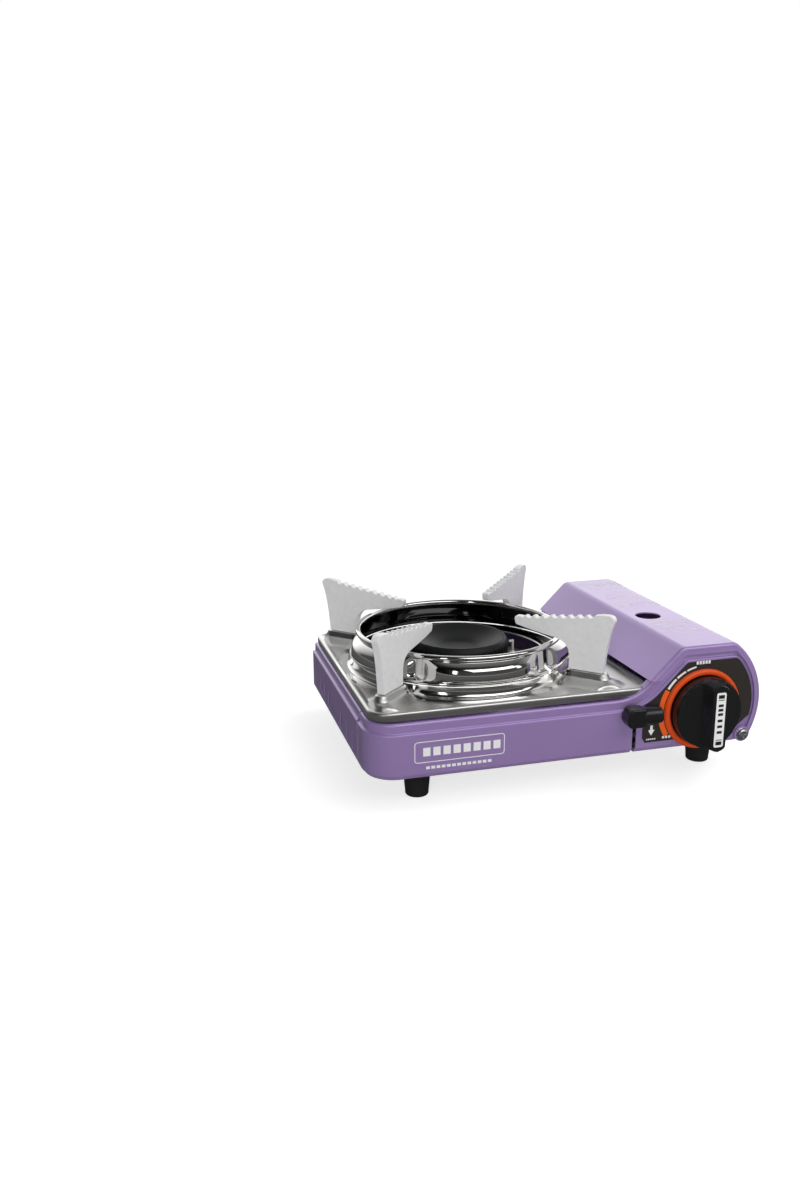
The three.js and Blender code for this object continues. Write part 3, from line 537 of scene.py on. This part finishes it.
def front_panel():
    obj = to_object("front_panel_shell", panel_shape(CORNER, SEAM_FRONT))
    face_towards(obj, lambda p: (0, -1, 0))
    thicken(obj, SHEET)
    slot_x, half, top = 190.0, 1.5, 56.0
    outline = [(slot_x - half, BOTTOM - 5)] + [(slot_x + half, BOTTOM - 5)]
    outline += arc(slot_x, top - half, half, 0, math.pi, 8)
    carve(obj, [slab(outline, on_front, -2, FLANGE_IN + 3)])
    finish_piece(obj, PAINT, "base", ["front_panel"])


def rear_panel():
    points, faces = panel_shape(REAR_CORNER, SEAM_REAR)
    obj = to_object("rear_panel_shell", ([(x, DEPTH - y, z) for x, y, z in points], faces))
    face_towards(obj, lambda p: (0, 1, 0))
    thicken(obj, SHEET)
    first, pitch, width, low, high = 46, 16, 4, 32, 46
    vents = []
    for i in range(7):
        start = first + i * pitch
        vents.append(slab(rounded_box(start, start + width, low, high, 1.9), on_front, DEPTH - 3, DEPTH + 2))
    carve(obj, vents)
    finish_piece(obj, PAINT, "base", ["rear_panel"])


LOUVRES = (50, 69, 88, 133, 149, 165)                   # from the front face, along the side


def louvre_depth(y, z):
    """How far the side panel's louvres press it in."""
    middle_height, half_height, width, deepest = 33.0, 7.2, 4.2, 2.0
    along = (z - middle_height) / half_height
    for centre in LOUVRES:
        across = y - centre
        if abs(along) < 1 and -width < across <= 0:
            return deepest * math.sqrt(1 - along * along) * smooth((across + width) / width)
    return 0.0


def side_panel():
    y0, y1 = SEAM_FRONT + 1.7, DEPTH - SEAM_REAR - 0.3
    count = 230
    ys = [y0 + (y1 - y0) * i / count for i in range(count + 1)]
    section = [(d, SHOULDER - i) for d, i in edge_round()] + [(d, STEP - i) for d, i in s_step()]
    section += [(0, 51 - i) for i in range(27)]
    section += [(d, HEM + i) for d, i in reversed(s_step())]
    section += [(d, BOTTOM + i) for d, i in reversed(edge_round())]
    loops = [[(d + (louvre_depth(y, z) if d == 0 else 0), y, z) for d, z in section] for y in ys]
    obj = to_object("side_panel_shell", loft(loops))
    face_towards(obj, lambda p: (-1, 0, 0))
    thicken(obj, SHEET)
    notch = [(-2, 52.6), (5, 52.6), (5, 55.4), (-2, 55.4)]      # depth and height, beside the front seam
    slit = [(0.5, 27.6), (4, 27.6), (4, 38.4), (0.5, 38.4)]     # at the deep edge of each louvre
    carve(obj, [slab(notch, on_side, y0 - 1, y0 + 2.2)])
    carve(obj, [slab(slit, on_side, y - 0.1, y + 1.3) for y in LOUVRES])
    finish_piece(obj, PAINT, "base", ["side_panel"])


def feet():
    profile = [(0, 0), (4.6, 0), (4.9, 0)] + arc(6.9, 1.2, 1.2, -QUARTER, 0, 5)
    profile += [(8.2, 3.2), (8.75, 9), (9.35, 17), (9.4, 20.6), (0, 21)]
    for place in ("front_left", "rear_left", "front_right", "rear_right"):
        low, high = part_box(f"foot_{place}")
        x = ((low[0] + high[0]) / 2 - PANEL_LOW[0]) / MM
        y = ((low[1] + high[1]) / 2 - PANEL_LOW[1]) / MM
        obj = to_object(f"rubber_foot_{place}", turned(profile, 64, x, y))
        finish_piece(obj, RUBBER, "base", [f"foot_{place}"])


# ---------------------------------------------------------------- cover
def cover_path(down, side, bend):
    return crest(SLOPE + down * math.sqrt(2), COVER_TOP - down, ARCH_R - side, bend, COVER_END,
                 start=COVER_EDGE)


def cover():
    """A sheet whose ends are turned over the panels, with an ear round each pivot and a round window."""
    over, radius = 0.2, 2.4
    edge = [(5.7, 4.7, 3.5, 0.0)]
    for i in range(7):
        a = QUARTER * i / 6
        inset = radius * (1 - math.sin(a))
        edge.append((inset, inset, 8 - inset * 0.8, radius * (1 - math.cos(a))))
    front = [[(x, -over + y, z) for x, z in cover_path(down, side, bend)] for down, side, bend, y in edge]
    rear = [[(x, DEPTH - y, z) for x, y, z in loop] for loop in reversed(front)]
    middle = [[(x, y, z) for x, z in cover_path(0, 0, 8)] for y in range(20, int(DEPTH) - 10, 20)]
    obj = to_object("cover_shell", loft(front + middle + rear))
    face_towards(obj, lambda p: (0, 0, 1))
    thicken(obj, SHEET)
    ear = arc(PIVOT_X, PIVOT_Z, 5.7, 0, TURN, 40)[:-1]
    ears = [slab(ear, on_front, -over, 1 - over), slab(ear, on_front, DEPTH - 1 + over, DEPTH + over)]
    carve(obj, ears, "UNION")
    window_x, window_y, window_radius = 240.3, 80.7, 9.6
    window = arc(window_x, window_y, window_radius, 0, TURN, 64)[:-1]
    carve(obj, [slab(window, on_top, COVER_TOP - 4, COVER_TOP + 2)])
    finish_piece(obj, PAINT, "cover", ["cover"])


def pivot_screw(place, mirror):
    arm, half_slot = 2.3, 0.55
    cross = rounded_box(PIVOT_X - arm, PIVOT_X + arm, PIVOT_Z - half_slot, PIVOT_Z + half_slot, 0.3, 3)
    upright = rounded_box(PIVOT_X - half_slot, PIVOT_X + half_slot, PIVOT_Z - arm, PIVOT_Z + arm, 0.3, 3)
    head = [(0, -3.2), (1.4, -3.15), (2.6, -2.95), (3.5, -2.5), (3.95, -1.9), (4, -1.45), (3.7, -1.25),
            (1.9, -1.2), (1.9, 7.6), (1.2, 8), (0, 8)]
    washer = [(2.1, -1.1), (4.5, -1.1), (4.7, -0.9), (4.7, -0.6), (2.1, -0.55), (2.1, -1.1)]
    for name, profile, node, cuts in (("pivot_screw_head", head, "pivot_screw", (cross, upright)),
                                      ("pivot_washer_ring", washer, "pivot_washer", ())):
        shapes = [turned_y(profile, 56, PIVOT_X, PIVOT_Z)]
        shapes += [slab(outline, on_front, -5, -1.9) for outline in cuts]
        if mirror:
            shapes = [([(x, DEPTH - y, z) for x, y, z in points], faces) for points, faces in shapes]
        obj = to_object(f"{name}_{place}", shapes[0])
        carve(obj, shapes[1:])
        finish_piece(obj, ZINC, "base", [f"{node}_{place}"])


# ---------------------------------------------------------------- controls
def control_plate():
    left = 197.0
    outline = [p for p in crest(144.2, 84, 47.2, 5, 40.5, shoulder=52, hollow=41) if p[0] > left]
    outline = [(left, 30.0), (left - 1, 31.0), (left - 1, 53.0)] + outline + [(264, 28), (left + 1, 28.0)]
    obj = to_object("control_plate_print", slab(outline, on_front, -0.75, -0.3))
    finish_piece(obj, PLATE, "base", ["control_plate"])


def bar(u0, u1, v0, v1):
    return [[(u0, v0), (u1, v0)], [(u0, v1), (u1, v1)]]


def row_of_bars(count, start, pitch, width, v0, v1):
    return [bar(start + i * pitch, start + i * pitch + width, v0, v1) for i in range(count)]


def outline_band(x0, x1, z0, z1, radius, width):
    outer = rounded_box(x0, x1, z0, z1, radius)
    inner = rounded_box(x0 + width, x1 - width, z0 + width, z1 - width, radius - width)
    return [outer + outer[:1], inner + inner[:1]]


def prints(name, strips, place, level, material, body, thickness=0.05):
    """Printed marks: flat strips between pairs of lines, a hair thicker than the surface under them."""
    shapes = [loft([[place(u, v, level) for u, v in line] for line in strip]) for strip in strips]
    obj = to_object(name, joined(shapes))
    outwards = (0, -1, 0) if place is on_front else (0, 0, 1)
    for polygon in obj.data.polygons:
        if polygon.normal.dot(Vector(outwards)) < 0:
            polygon.flip()
    thicken(obj, thickness)
    return finish_piece(obj, material, body, [])


def plate_marks():
    surface = -0.80

    def tapered(start, end, steps, full):
        """A band of the scale round the knob, wider to its full share from 100 to 150 degrees."""
        turns = [start + (end - start) * i / steps for i in range(steps + 1)]
        share = [min(full, (a - 100) / 50 * full) for a in turns]
        inner = [(31.4 - 1.6 * s, math.radians(a)) for s, a in zip(share, turns)]
        outer = [(32.5 + 1.1 * s, math.radians(a)) for s, a in zip(share, turns)]
        return [[(KNOB_X + r * math.cos(a), KNOB_Z + r * math.sin(a)) for r, a in line]
                for line in (inner, outer)]

    prints("scale_band", [tapered(150, 213, 36, 1.0)], on_front, surface, ORANGE_INK, "base")
    ticks = [tapered(start, end, 8, 0.3) for start, end in ((101.5, 114.5), (116.5, 130), (132, 148))]
    prints("scale_ticks", ticks, on_front, surface, PLATE_INK, "base")
    words = row_of_bars(5, 234.6, 2.3, 1.6, 82.0, 84.4)
    words += row_of_bars(5, 199.0, 1.5, 1.0, 29.7, 30.7)
    words += row_of_bars(3, 211.2, 2.4, 1.7, 29.7, 31.5)
    arrow = [[(201.6, 40.4), (201.6, 37.0), (200.2, 37.0), (202.6, 32.8)],
             [(203.6, 40.4), (203.6, 37.0), (205.0, 37.0), (202.6, 32.8)]]
    prints("plate_marks", words + [arrow], on_front, surface, PLATE_INK, "base")


def bezel():
    seat = -1.1
    profile = [(25.2, seat), (25.35, -2.5), (25.9, -3.1), (27.0, -3.5), (28.2, -3.3), (29.0, -2.6)]
    profile += [(29.4, seat), (25.2, seat)]
    obj = to_object("knob_ring", turned_y(profile, 128, KNOB_X, KNOB_Z))
    finish_piece(obj, ORANGE, "base", ["knob_bezel"])


def grip_loop(y, half, top, bottom):
    """Section of the grip at one level: straight flanks and blunt points."""
    point = 2.4
    right = [(0, top), (half * 0.5, top - point * 0.42), (half - 1.0, top - point * 0.9),
             (half, top - point * 1.5), (half, 0), (half, bottom + point * 1.5),
             (half - 1.0, bottom + point * 0.9), (half * 0.5, bottom + point * 0.42), (0, bottom)]
    left = [(-u, v) for u, v in reversed(right[1:-1])]
    return [(KNOB_X + u, y, KNOB_Z + v) for u, v in right + left]


def knob_ramp():
    """Flats that rise from the disc's face to the grip, cut off by a circle."""
    reach = 24.5
    loops = []
    for y, half in ((-11.0, 19.2), (-12.1, 19.2), (-14.3, 9.7)):
        loop = []
        for side in (1, -1):
            for i in range(17):
                u = half * side * (1 - i / 8)
                loop.append((KNOB_X + u, y, KNOB_Z + side * math.sqrt(reach ** 2 - u ** 2)))
        loops.append(loop)
    return loft(loops, closed=True, caps=True)


def knob():
    """A disc with a long grip across it, which widens towards the disc."""
    disc = [(0, -12.0), (21.6, -12.0), (23.4, -11.9), (24.4, -11.5), (24.9, -10.7), (25.0, -9.8),
            (25.0, -5.0), (24.4, -4.2), (24.4, -1.3), (0, -1.3)]
    # Level, half width, top and bottom of each section of the grip.
    grip = [(-24.2, 5.3, 24.0, -23.2), (-24.05, 5.7, 24.5, -23.6), (-23.6, 6.0, 24.8, -23.8),
            (-19, 6.9, 25.5, -24.1), (-15.2, 8.6, 26.0, -24.3), (-14.2, 9.4, 26.2, -24.4),
            (-11.2, 9.6, 26.2, -24.4)]
    obj = to_object("knob_body", turned_y(disc, 128, KNOB_X, KNOB_Z))
    carve(obj, [loft([grip_loop(*station) for station in grip], closed=True, caps=True)], "UNION")
    carve(obj, [knob_ramp()], "UNION")
    finish_piece(obj, PLASTIC, "control_knob", ["knob"], sharp=26)


def knob_label():
    half_width, half_height = 3.6, 19.8
    outline = rounded_box(KNOB_X - half_width, KNOB_X + half_width, KNOB_Z - half_height,
                          KNOB_Z + half_height, 1.4)
    plate = to_object("knob_label_plate", slab(outline, on_front, -24.36, -23.9))
    bevel_edges(plate, 0.1, 2)
    finish_piece(plate, WHITE, "control_knob", ["knob_label"])
    marks = []
    for half, height, levels in ((2.3, 2.6, (15.6, -18.2)), (2.3, 0.6, (14.2, -14.8)),
                                 (1.9, 1.9, (9.6, 6.4, 3.2, -1.4, -5.6, -9.8))):
        marks += [bar(KNOB_X - half, KNOB_X + half, KNOB_Z + z, KNOB_Z + z + height) for z in levels]
    prints("knob_label_marks", marks, on_front, -24.385, BLACK_INK, "control_knob", 0.02)


def lever():
    """A block with a round bar that points to the right, on a neck that goes through the slot."""
    z = 51.4
    block = [(177.6, z - 2.5), (178.8, z + 4.6), (182, z + 6.9), (192, z + 6.4), (192, z - 6.6),
             (180.6, z - 6.9)]
    obj = to_object("lever_block", slab(block, on_front, -13.4, -2.4))
    bevel_edges(obj, 1.5, 4)
    bar_profile = [(0, 189.0), (5.2, 189.0), (6.0, 190.0), (6.0, 203.2), (5.7, 204.1), (5.0, 204.6),
                   (3.4, 204.6), (3.0, 204.2), (0, 204.2)]
    carve(obj, [turned_x(bar_profile, 72, -8.4, z)], "UNION")
    neck = [(189.2, z - 6), (190.8, z - 6), (190.8, z + 3.4), (189.2, z + 3.4)]
    carve(obj, [slab(neck, on_front, -4, 3.6)], "UNION")
    finish_piece(obj, PLASTIC, "lever", ["lock_lever"])


# ---------------------------------------------------------------- drip tray, windshield, supports
def tray_edge(angle, inset):
    """Where a ray from the ring's centre meets the tray's rounded outline, set in by inset."""
    x0, x1 = TRAY_X[0] + inset, TRAY_X[1] - inset
    y0, y1 = TRAY_Y[0] + inset, TRAY_Y[1] - inset
    front_corner, rear_corner = 14.0, 9.0
    cos, sin = math.cos(angle), math.sin(angle)

    def inside(reach):
        x, y = RING_X + reach * cos, RING_Y + reach * sin
        corner = max(0.5, (front_corner if y < RING_Y else rear_corner) - inset)
        over_x = max(x0 + corner - x, x - x1 + corner)
        over_y = max(y0 + corner - y, y - y1 + corner)
        if over_x > 0 and over_y > 0:
            return math.hypot(over_x, over_y) < corner
        return max(over_x, over_y) < corner

    low, high = 60.0, 170.0
    for _ in range(40):
        middle = (low + high) / 2
        low, high = (middle, high) if inside(middle) else (low, middle)
    return (RING_X + low * cos, RING_Y + low * sin)


def rib_height(x, y):
    """Height over the flat of the ribs under the four supports: a low mound with a narrow ridge on it."""
    mound_top, ridge_top, rib_end = 5.2, 3.2, 112.6
    dx, dy = x - RING_X, y - RING_Y
    along = (abs(dx) + abs(dy)) / math.sqrt(2)
    across = abs(abs(dx) - abs(dy)) / math.sqrt(2)
    distance = across if along < rib_end else math.hypot(along - rib_end, across)
    mound = smooth((along - 80) / 8) * smooth((17.0 - distance) / 14.5)
    ridge = smooth((along - 84) / 3) * smooth((5.6 - distance) / 1.5)
    return mound_top * mound + ridge_top * ridge


def collar_height(radius):
    """Level of the collar round the burner: it rises steeply, is flat on top and dips at the hole's edge."""
    foot, top, lip = 86, 81, 66.8
    if radius >= foot:
        return TRAY_FLAT
    if radius <= top:
        return COLLAR_TOP - (0.9 * smooth((lip - radius) / 0.8))
    t = (foot - radius) / (foot - top)
    return TRAY_FLAT + (COLLAR_TOP - TRAY_FLAT) * (1 - math.sqrt(max(0.0, 1 - t ** 4)))


def tray_angles():
    """Directions round the ring in radians, closer together over the four ribs."""
    dense, coarse_step, fine_step = 9, 1.2, 0.36
    coarse = int((45 - dense) / coarse_step)
    angles = []
    for quarter in range(4):
        middle = 45 + 90 * quarter
        angles += [middle - 45 + i * coarse_step for i in range(coarse)]
        angles += [middle - dense + i * fine_step for i in range(int(2 * dense / fine_step) + 1)]
        angles += [middle + 45 - i * coarse_step for i in range(coarse, 0, -1)]
    return [math.radians(a) for a in angles]


def tray():
    angles = tray_angles()
    rim = [(0.5, TRAY_SKIRT), (0.2, 62.4), (0.0, 64.4)]
    rim += [(2.0 * (1 - math.cos(a)), 65.4 + 2.0 * math.sin(a)) for a in [QUARTER * i / 6 for i in range(7)]]
    rim += [(2.8, 67.3), (3.6, 66.95), (4.6, 66.55), (5.6, TRAY_FLAT)]
    loops = [[(*tray_edge(a, inset), z) for a in angles] for inset, z in rim]
    steps, flat_inner = 34, 90
    inner = [(RING_X + flat_inner * math.cos(a), RING_Y + flat_inner * math.sin(a)) for a in angles]
    outer = [tray_edge(a, 5.6) for a in angles]
    for i in range(1, steps + 1):
        row = []
        for p, q in zip(outer, inner):
            x, y = between(p, q, i / steps)
            row.append((x, y, TRAY_FLAT + rib_height(x, y)))
        loops.append(row)
    for radius in (89, 88, 87, 86, 85, 84.2, 83.4, 82.7, 82.1, 81.7, 81.4, 81.2, 81.08, 81.02, 81.0, 80.4,
                   79.6, 78, 72, 68, 66.8, 66.4, 66.0):
        row = []
        for a in angles:
            x, y = RING_X + radius * math.cos(a), RING_Y + radius * math.sin(a)
            row.append((x, y, max(collar_height(radius), TRAY_FLAT + rib_height(x, y))))
        loops.append(row)
    obj = to_object("tray_sheet", loft(loops, closed=True))
    face_towards(obj, lambda p: (0, 0, 1))
    thicken(obj, 0.7, even=False)
    finish_piece(obj, TRAY_STEEL, "pan_stand", ["drip_tray"], sharp=50)


# Radius, level and share of the lobes' bulge, down the wall of the windshield.
WALL = ((76.0, 90.6, 0.0), (76.1, 90.1, 0.15), (76.2, 89.3, 0.38), (76.3, 88.3, 0.62), (76.4, 87.0, 0.83),
        (76.5, 85.8, 0.93), (76.7, 84.4, 0.98), (76.9, 82.8, 1.0), (77.1, 81.2, 1.0), (77.3, 80.0, 0.99),
        (77.6, 79.0, 0.95), (78.1, 78.1, 0.85), (78.9, 77.4, 0.64), (79.8, 77.0, 0.36), (80.5, 76.8, 0.14),
        (81.1, 76.6, 0.04))
LOBE_BULGE, SEAM_TURN = 7.2, -56.0
LOBES = ((266, 32), (198, 31), (82, 38), (348, 41))     # middle and half width of each, in degrees


def lobe(angle):
    """Share of the bulge at an angle in degrees: four lobes, upright posts between them."""
    return max(0.0, *(1 - (abs((angle - middle + 540) % 360 - 180) / span) ** 3 for middle, span in LOBES))


def windshield():
    rim = arc(75.35, 92.0, 2.05, 0, 3.8 * QUARTER, 19)
    bead_turns = [QUARTER * (0.8 - i / 3) for i in range(7)]
    bead = [(80.75 + 1.25 * math.cos(a), 75.2 + 1.45 * math.sin(a)) for a in bead_turns]
    gap, steps = 1.5, 540
    angles = [SEAM_TURN + gap + (360 - 2 * gap) * i / steps for i in range(steps + 1)]
    loops = []
    for angle in angles:
        share = lobe(angle)
        a = math.radians(angle)
        section = [(r + LOBE_BULGE * share * part, z) for r, z, part in WALL] + bead
        loops.append([(RING_X + r * math.cos(a), RING_Y + r * math.sin(a), z) for r, z in section])
    obj = to_object("windshield_ring", loft(loops))
    middle = metres((RING_X, RING_Y, 0))
    face_towards(obj, lambda p: (p.x - middle.x, p.y - middle.y, 0))
    thicken(obj, 0.6, even=False)
    add_shape(obj, turned(rim, 288, closed=True))
    finish_piece(obj, BRIGHT_STEEL, "pan_stand", ["windshield"], sharp=50)


def windshield_seam_shadow():
    """A dark strap behind the gap where the ring's two ends meet: painted shadow, a dark sheet put where the
    gap shows only shade.
    """
    turn = math.radians(SEAM_TURN)

    def behind_seam(u, v, level):
        x = RING_X + u * math.cos(turn) - v * math.sin(turn)
        y = RING_Y + u * math.sin(turn) + v * math.cos(turn)
        return (x, y, level)

    outline = [(74.2, -1.9), (75.3, -1.9), (75.3, 1.9), (74.2, 1.9)]
    # painted shadow: this dark strap stands in for the shade seen through the seam's gap
    strap = to_object("windshield_seam_shadow", slab(outline, behind_seam, 74.4, 90))
    finish_piece(strap, ENAMEL, "pan_stand", [])


def support_outline():
    """Side view of a support, as distance from the ring's centre and height."""
    inner, outer = 88.5, 113.6
    foot = RIDGE_TOP + 0.3
    points = [(inner, foot), (outer, foot), (114.0, 79), (114.6, 85), (115.3, 91), (116.3, 97.5)]
    points += [(117.6, 104), (118.8, 108), (120.1, 111.6), (120.6, 113.2), (120.4, 114.6), (119.5, 116.0)]
    points += [(118.2, 116.9), (116.4, 117.2), (112, 117.0), (107.2, 116.2)]
    first, last, teeth = 106.2, 53.6, 8
    pitch = (first - last) / teeth

    def level(r):
        return 108.3 + (r - 46.3) * (115.8 - 108.3) / (106 - 46.3)

    for i in range(teeth):
        r = first - i * pitch
        for a in [math.pi * k / 6 for k in range(7)]:
            u = r - 0.35 * pitch + 0.33 * pitch * math.cos(a)
            points.append((u, level(u) - 1.75 * math.sin(a)))
        points += [(u, level(u)) for u in (r - 0.74 * pitch, r - 0.94 * pitch)]
    points += [(53.0, 107.6), (52.0, 108.2), (50.5, 108.4), (47.4, 108.3), (46.5, 107.6), (46.3, 106.6)]
    points += [(47.0, 103.2), (47.8, 102.2), (56, 100.3), (68, 98), (78, 96.4), (82, 95.2), (85.2, 93)]
    return points + [(87.6, 89.8), (inner, 85.5)]


def pan_supports():
    places = ("rear_right", "rear_left", "front_left", "front_right")
    for quarter, place in enumerate(places):
        angle = QUARTER / 2 + quarter * QUARTER
        points, faces = slab(support_outline(), on_front, -2.8, 2.8)
        cos, sin = math.cos(angle), math.sin(angle)
        points = [(RING_X + x * cos - y * sin, RING_Y + x * sin + y * cos, z) for x, y, z in points]
        obj = to_object(f"support_plate_{place}", (points, faces))
        bevel_edges(obj, 0.55, 3, 25)
        finish_piece(obj, CAST, "pan_stand", [f"pan_support_{place}"], sharp=50)


# ---------------------------------------------------------------- burner
def burner_cap():
    profile = [(0, 76.4), (8, 76.5), (12, 76.8), (14.5, 77.5), (16.5, 78.6), (19.5, 79.8), (24, 81.4),
               (28, 83.2), (31, 85.0), (32.4, 85.9), (33.4, 86.3), (34.3, 86.35), (35.2, 86.0), (36.2, 84.6),
               (37.0, 83.0), (37.3, 82.2), (37.2, 81.2), (33.4, 80.2), (33.0, 75.2), (0, 75.2)]
    shapes = [turned(profile, 128)]
    teeth = 54
    width = TURN / teeth * 0.62
    for i in range(teeth):
        start = TURN * i / teeth
        outline = arc(RING_X, RING_Y, 37.2, start, start + width, 3)
        outline += arc(RING_X, RING_Y, 33.2, start + width, start, 3)
        shapes.append(slab(outline, on_top, 75.1, 81.2))
    obj = to_object("burner_cap", joined(shapes))
    finish_piece(obj, ENAMEL, "base", ["burner_head"])


def burner_dish():
    dish = [(30, 57.5), (58.6, 57.5), (61.4, 58.2), (62.6, 59.6), (63, 62.6), (62.2, 62.6), (61.8, 60),
            (60.8, 58.9), (58.4, 58.4), (30, 58.4), (30, 57.5)]
    left, right = 82, 106
    legs = []
    for y in (46, 153):
        section = [(left, y), (right, y), (right, y + 1), (left, y + 1)]
        legs.append(slab(section, on_top, 35.3, 57.8))
    pan = to_object("burner_dish", joined([turned(dish, 128)] + legs))
    finish_piece(pan, PAN_STEEL, "base", ["burner_pan"])


# ---------------------------------------------------------------- plain printed marks
def front_print():
    frame_line = outline_band(31, 94, 32.0, 47.0, 2.2, 0.55)
    blocks = row_of_bars(8, 37, 7.0, 5, 36.5, 42.5)
    line = row_of_bars(13, 39, 3.6, 2.6, 27.2, 29.2)
    prints("front_print", [frame_line] + blocks + line, on_front, -0.03, WHITE_INK, "base")


def cover_print():
    level = COVER_TOP + 0.02
    marks = [outline_band(229, 266, 171, 192, 1.5, 0.8)] + row_of_bars(5, 232, 6.6, 5, 176, 187)
    circle = [arc(248.6, 137.4, r, 0, TURN, 64) for r in (14.0, 13.2)]
    marks += [circle, bar(240, 257, 141, 142.4), bar(238, 259, 136.6, 138.2), bar(240, 257, 132.4, 133.8)]
    prints("cover_marks", marks, on_top, level, PALE_INK, "cover")
    lines = [bar(231, 266, y, y + 1.3) for y in (166, 116, 112.4, 108.8)]
    lines += [bar(232, 263.5, 62.5, 66.5)]
    lines += [bar(232, 262 - (i % 3) * 3, 56 - i * 3.6, 57.2 - i * 3.6) for i in range(7)]
    prints("cover_lines", lines, on_top, level, PALE_INK, "cover")


# ---------------------------------------------------------------- studio
def studio_floor():
    """A pale floor that shines a little for the camera, so that it meets the white backdrop."""
    reach = 4000
    corners = [(-reach, -reach, 0), (reach, -reach, 0), (reach, reach, 0), (-reach, reach, 0)]
    floor = to_object("studio_floor", (corners, [(0, 1, 2, 3)]))
    material = bpy.data.materials.new("studio_white")
    material.use_nodes = True
    tree = material.node_tree
    shader = tree.nodes["Principled BSDF"]
    shader.inputs["Base Color"].default_value = (0.5, 0.5, 0.5, 1)
    shader.inputs["Roughness"].default_value = 0.95
    seen = add_node(tree, "LightPath").outputs["Is Camera Ray"]
    glow = add_node(tree, "Emission", {"Strength": calculated(tree, "MULTIPLY", seen, 0.72)})
    both = add_node(tree, "AddShader", {0: shader.outputs[0], 1: glow.outputs[0]})
    feed(tree, tree.nodes["Material Output"].inputs["Surface"], both.outputs[0])
    floor.data.materials.append(material)
    floor.visible_glossy = False


def studio_world():
    """Soft surroundings, brightest near the horizon behind the stove; the camera sees plain white."""
    world = bpy.data.worlds.new("studio_world")
    bpy.context.scene.world = world
    world.use_nodes = True
    tree = world.node_tree
    place = add_node(tree, "TexCoord").outputs["Generated"]
    split = add_node(tree, "SeparateXYZ", {0: place})
    ramp = add_node(tree, "ValToRGB", {"Fac": ranged(tree, split.outputs["Z"], -1.0, 1.0)})
    levels = ((-1, 0.07), (-0.3, 0.08), (-0.05, 0.12), (0.04, 1.7), (0.30, 1.8), (0.5, 1.1), (0.8, 0.25),
              (1, 0.3))
    while len(ramp.color_ramp.elements) < len(levels):
        ramp.color_ramp.elements.new(0.5)
    for element, (z, level) in zip(ramp.color_ramp.elements, levels):
        element.position = (z + 1) / 2
        element.color = (level, level, level, 1)
    rear = ranged(tree, split.outputs["Y"], -0.3, 0.55, low=0.04)
    right = ranged(tree, split.outputs["X"], -0.75, -0.15, low=0.05)
    below = ranged(tree, split.outputs["Z"], 0.02, -0.08)
    share = calculated(tree, "MAXIMUM", calculated(tree, "MULTIPLY", rear, right), below)
    background = tree.nodes["Background"]
    feed(tree, background.inputs["Color"], mixed(tree, 1, ramp.outputs["Color"], share, "MULTIPLY"))
    backdrop = add_node(tree, "Background", {"Color": (1, 1, 1, 1)})
    seen = add_node(tree, "LightPath").outputs["Is Camera Ray"]
    pick = add_node(tree, "MixShader", {0: seen, 1: background.outputs[0], 2: backdrop.outputs[0]})
    feed(tree, tree.nodes["World Output"].inputs["Surface"], pick.outputs[0])


def lamp(name, light):
    obj = bpy.data.objects.new(name, light)
    bpy.context.scene.collection.objects.link(obj)
    return obj


def sunlight(name, direction, strength, spread):
    """A wide, soft sun that lights surfaces but leaves no highlight."""
    light = bpy.data.lights.new(name, "SUN")
    light.energy = strength
    light.angle = math.radians(spread)
    sun = lamp(name, light)
    sun.rotation_euler = Vector(direction).to_track_quat("Z", "Y").to_euler()
    sun.visible_glossy = False


def softbox(name, place, size, level):
    """A rectangle of light, as bright as its level, that faces the stove. Place and size are in metres."""
    light = bpy.data.lights.new(name, "AREA")
    light.shape = "RECTANGLE"
    light.size, light.size_y = size
    light.energy = level * math.pi * size[0] * size[1]
    box = lamp(name, light)
    box.location = place
    box.rotation_euler = (Vector((0, 0, 0.06)) - Vector(place)).to_track_quat("-Z", "Y").to_euler()


def studio_lights():
    sunlight("light_overhead", (0.50, 0.02, 0.86), 1.0, 40)
    sunlight("light_front", (-0.40, -0.90, 0.12), 1.7, 30)
    softbox("light_strip", (0.38, -1.05, 1.15), (1.5, 0.85), 2.1)
    softbox("light_left", (-0.85, -1.2, 0.55), (0.16, 0.6), 4.0)
    softbox("light_right", (1.05, -0.75, 0.7), (0.2, 0.7), 2.0)


def camera():
    yaw, pitch, roll = math.radians(15.0), math.radians(14.82), math.radians(-0.395)
    ahead = Vector((math.sin(yaw) * math.cos(pitch), math.cos(yaw) * math.cos(pitch), -math.sin(pitch)))
    level_right = Vector((math.cos(yaw), -math.sin(yaw), 0))
    level_up = level_right.cross(ahead)
    right = level_right * math.cos(roll) + level_up * math.sin(roll)
    up = level_up * math.cos(roll) - level_right * math.sin(roll)
    lens = bpy.data.cameras.new("photo_view")
    lens.lens = 30.65
    lens.sensor_width = 36
    view = bpy.data.objects.new("photo_view", lens)
    view.matrix_world = Matrix.Translation(metres((-138.4, -598.4, 308.2))) @ Matrix(
        (right, up, -ahead)).transposed().to_4x4()
    bpy.context.scene.collection.objects.link(view)
    bpy.context.scene.camera = view


camera()
studio_floor()
studio_world()
studio_lights()
colour_carried_nodes()
front_panel()
rear_panel()
side_panel()
feet()
cover()
pivot_screw("front", False)
pivot_screw("rear", True)
control_plate()
plate_marks()
bezel()
knob()
knob_label()
lever()
tray()
windshield()
windshield_seam_shadow()
pan_supports()
burner_cap()
burner_dish()
front_print()
cover_print()

bpy.context.scene.view_settings.view_transform = "Standard"
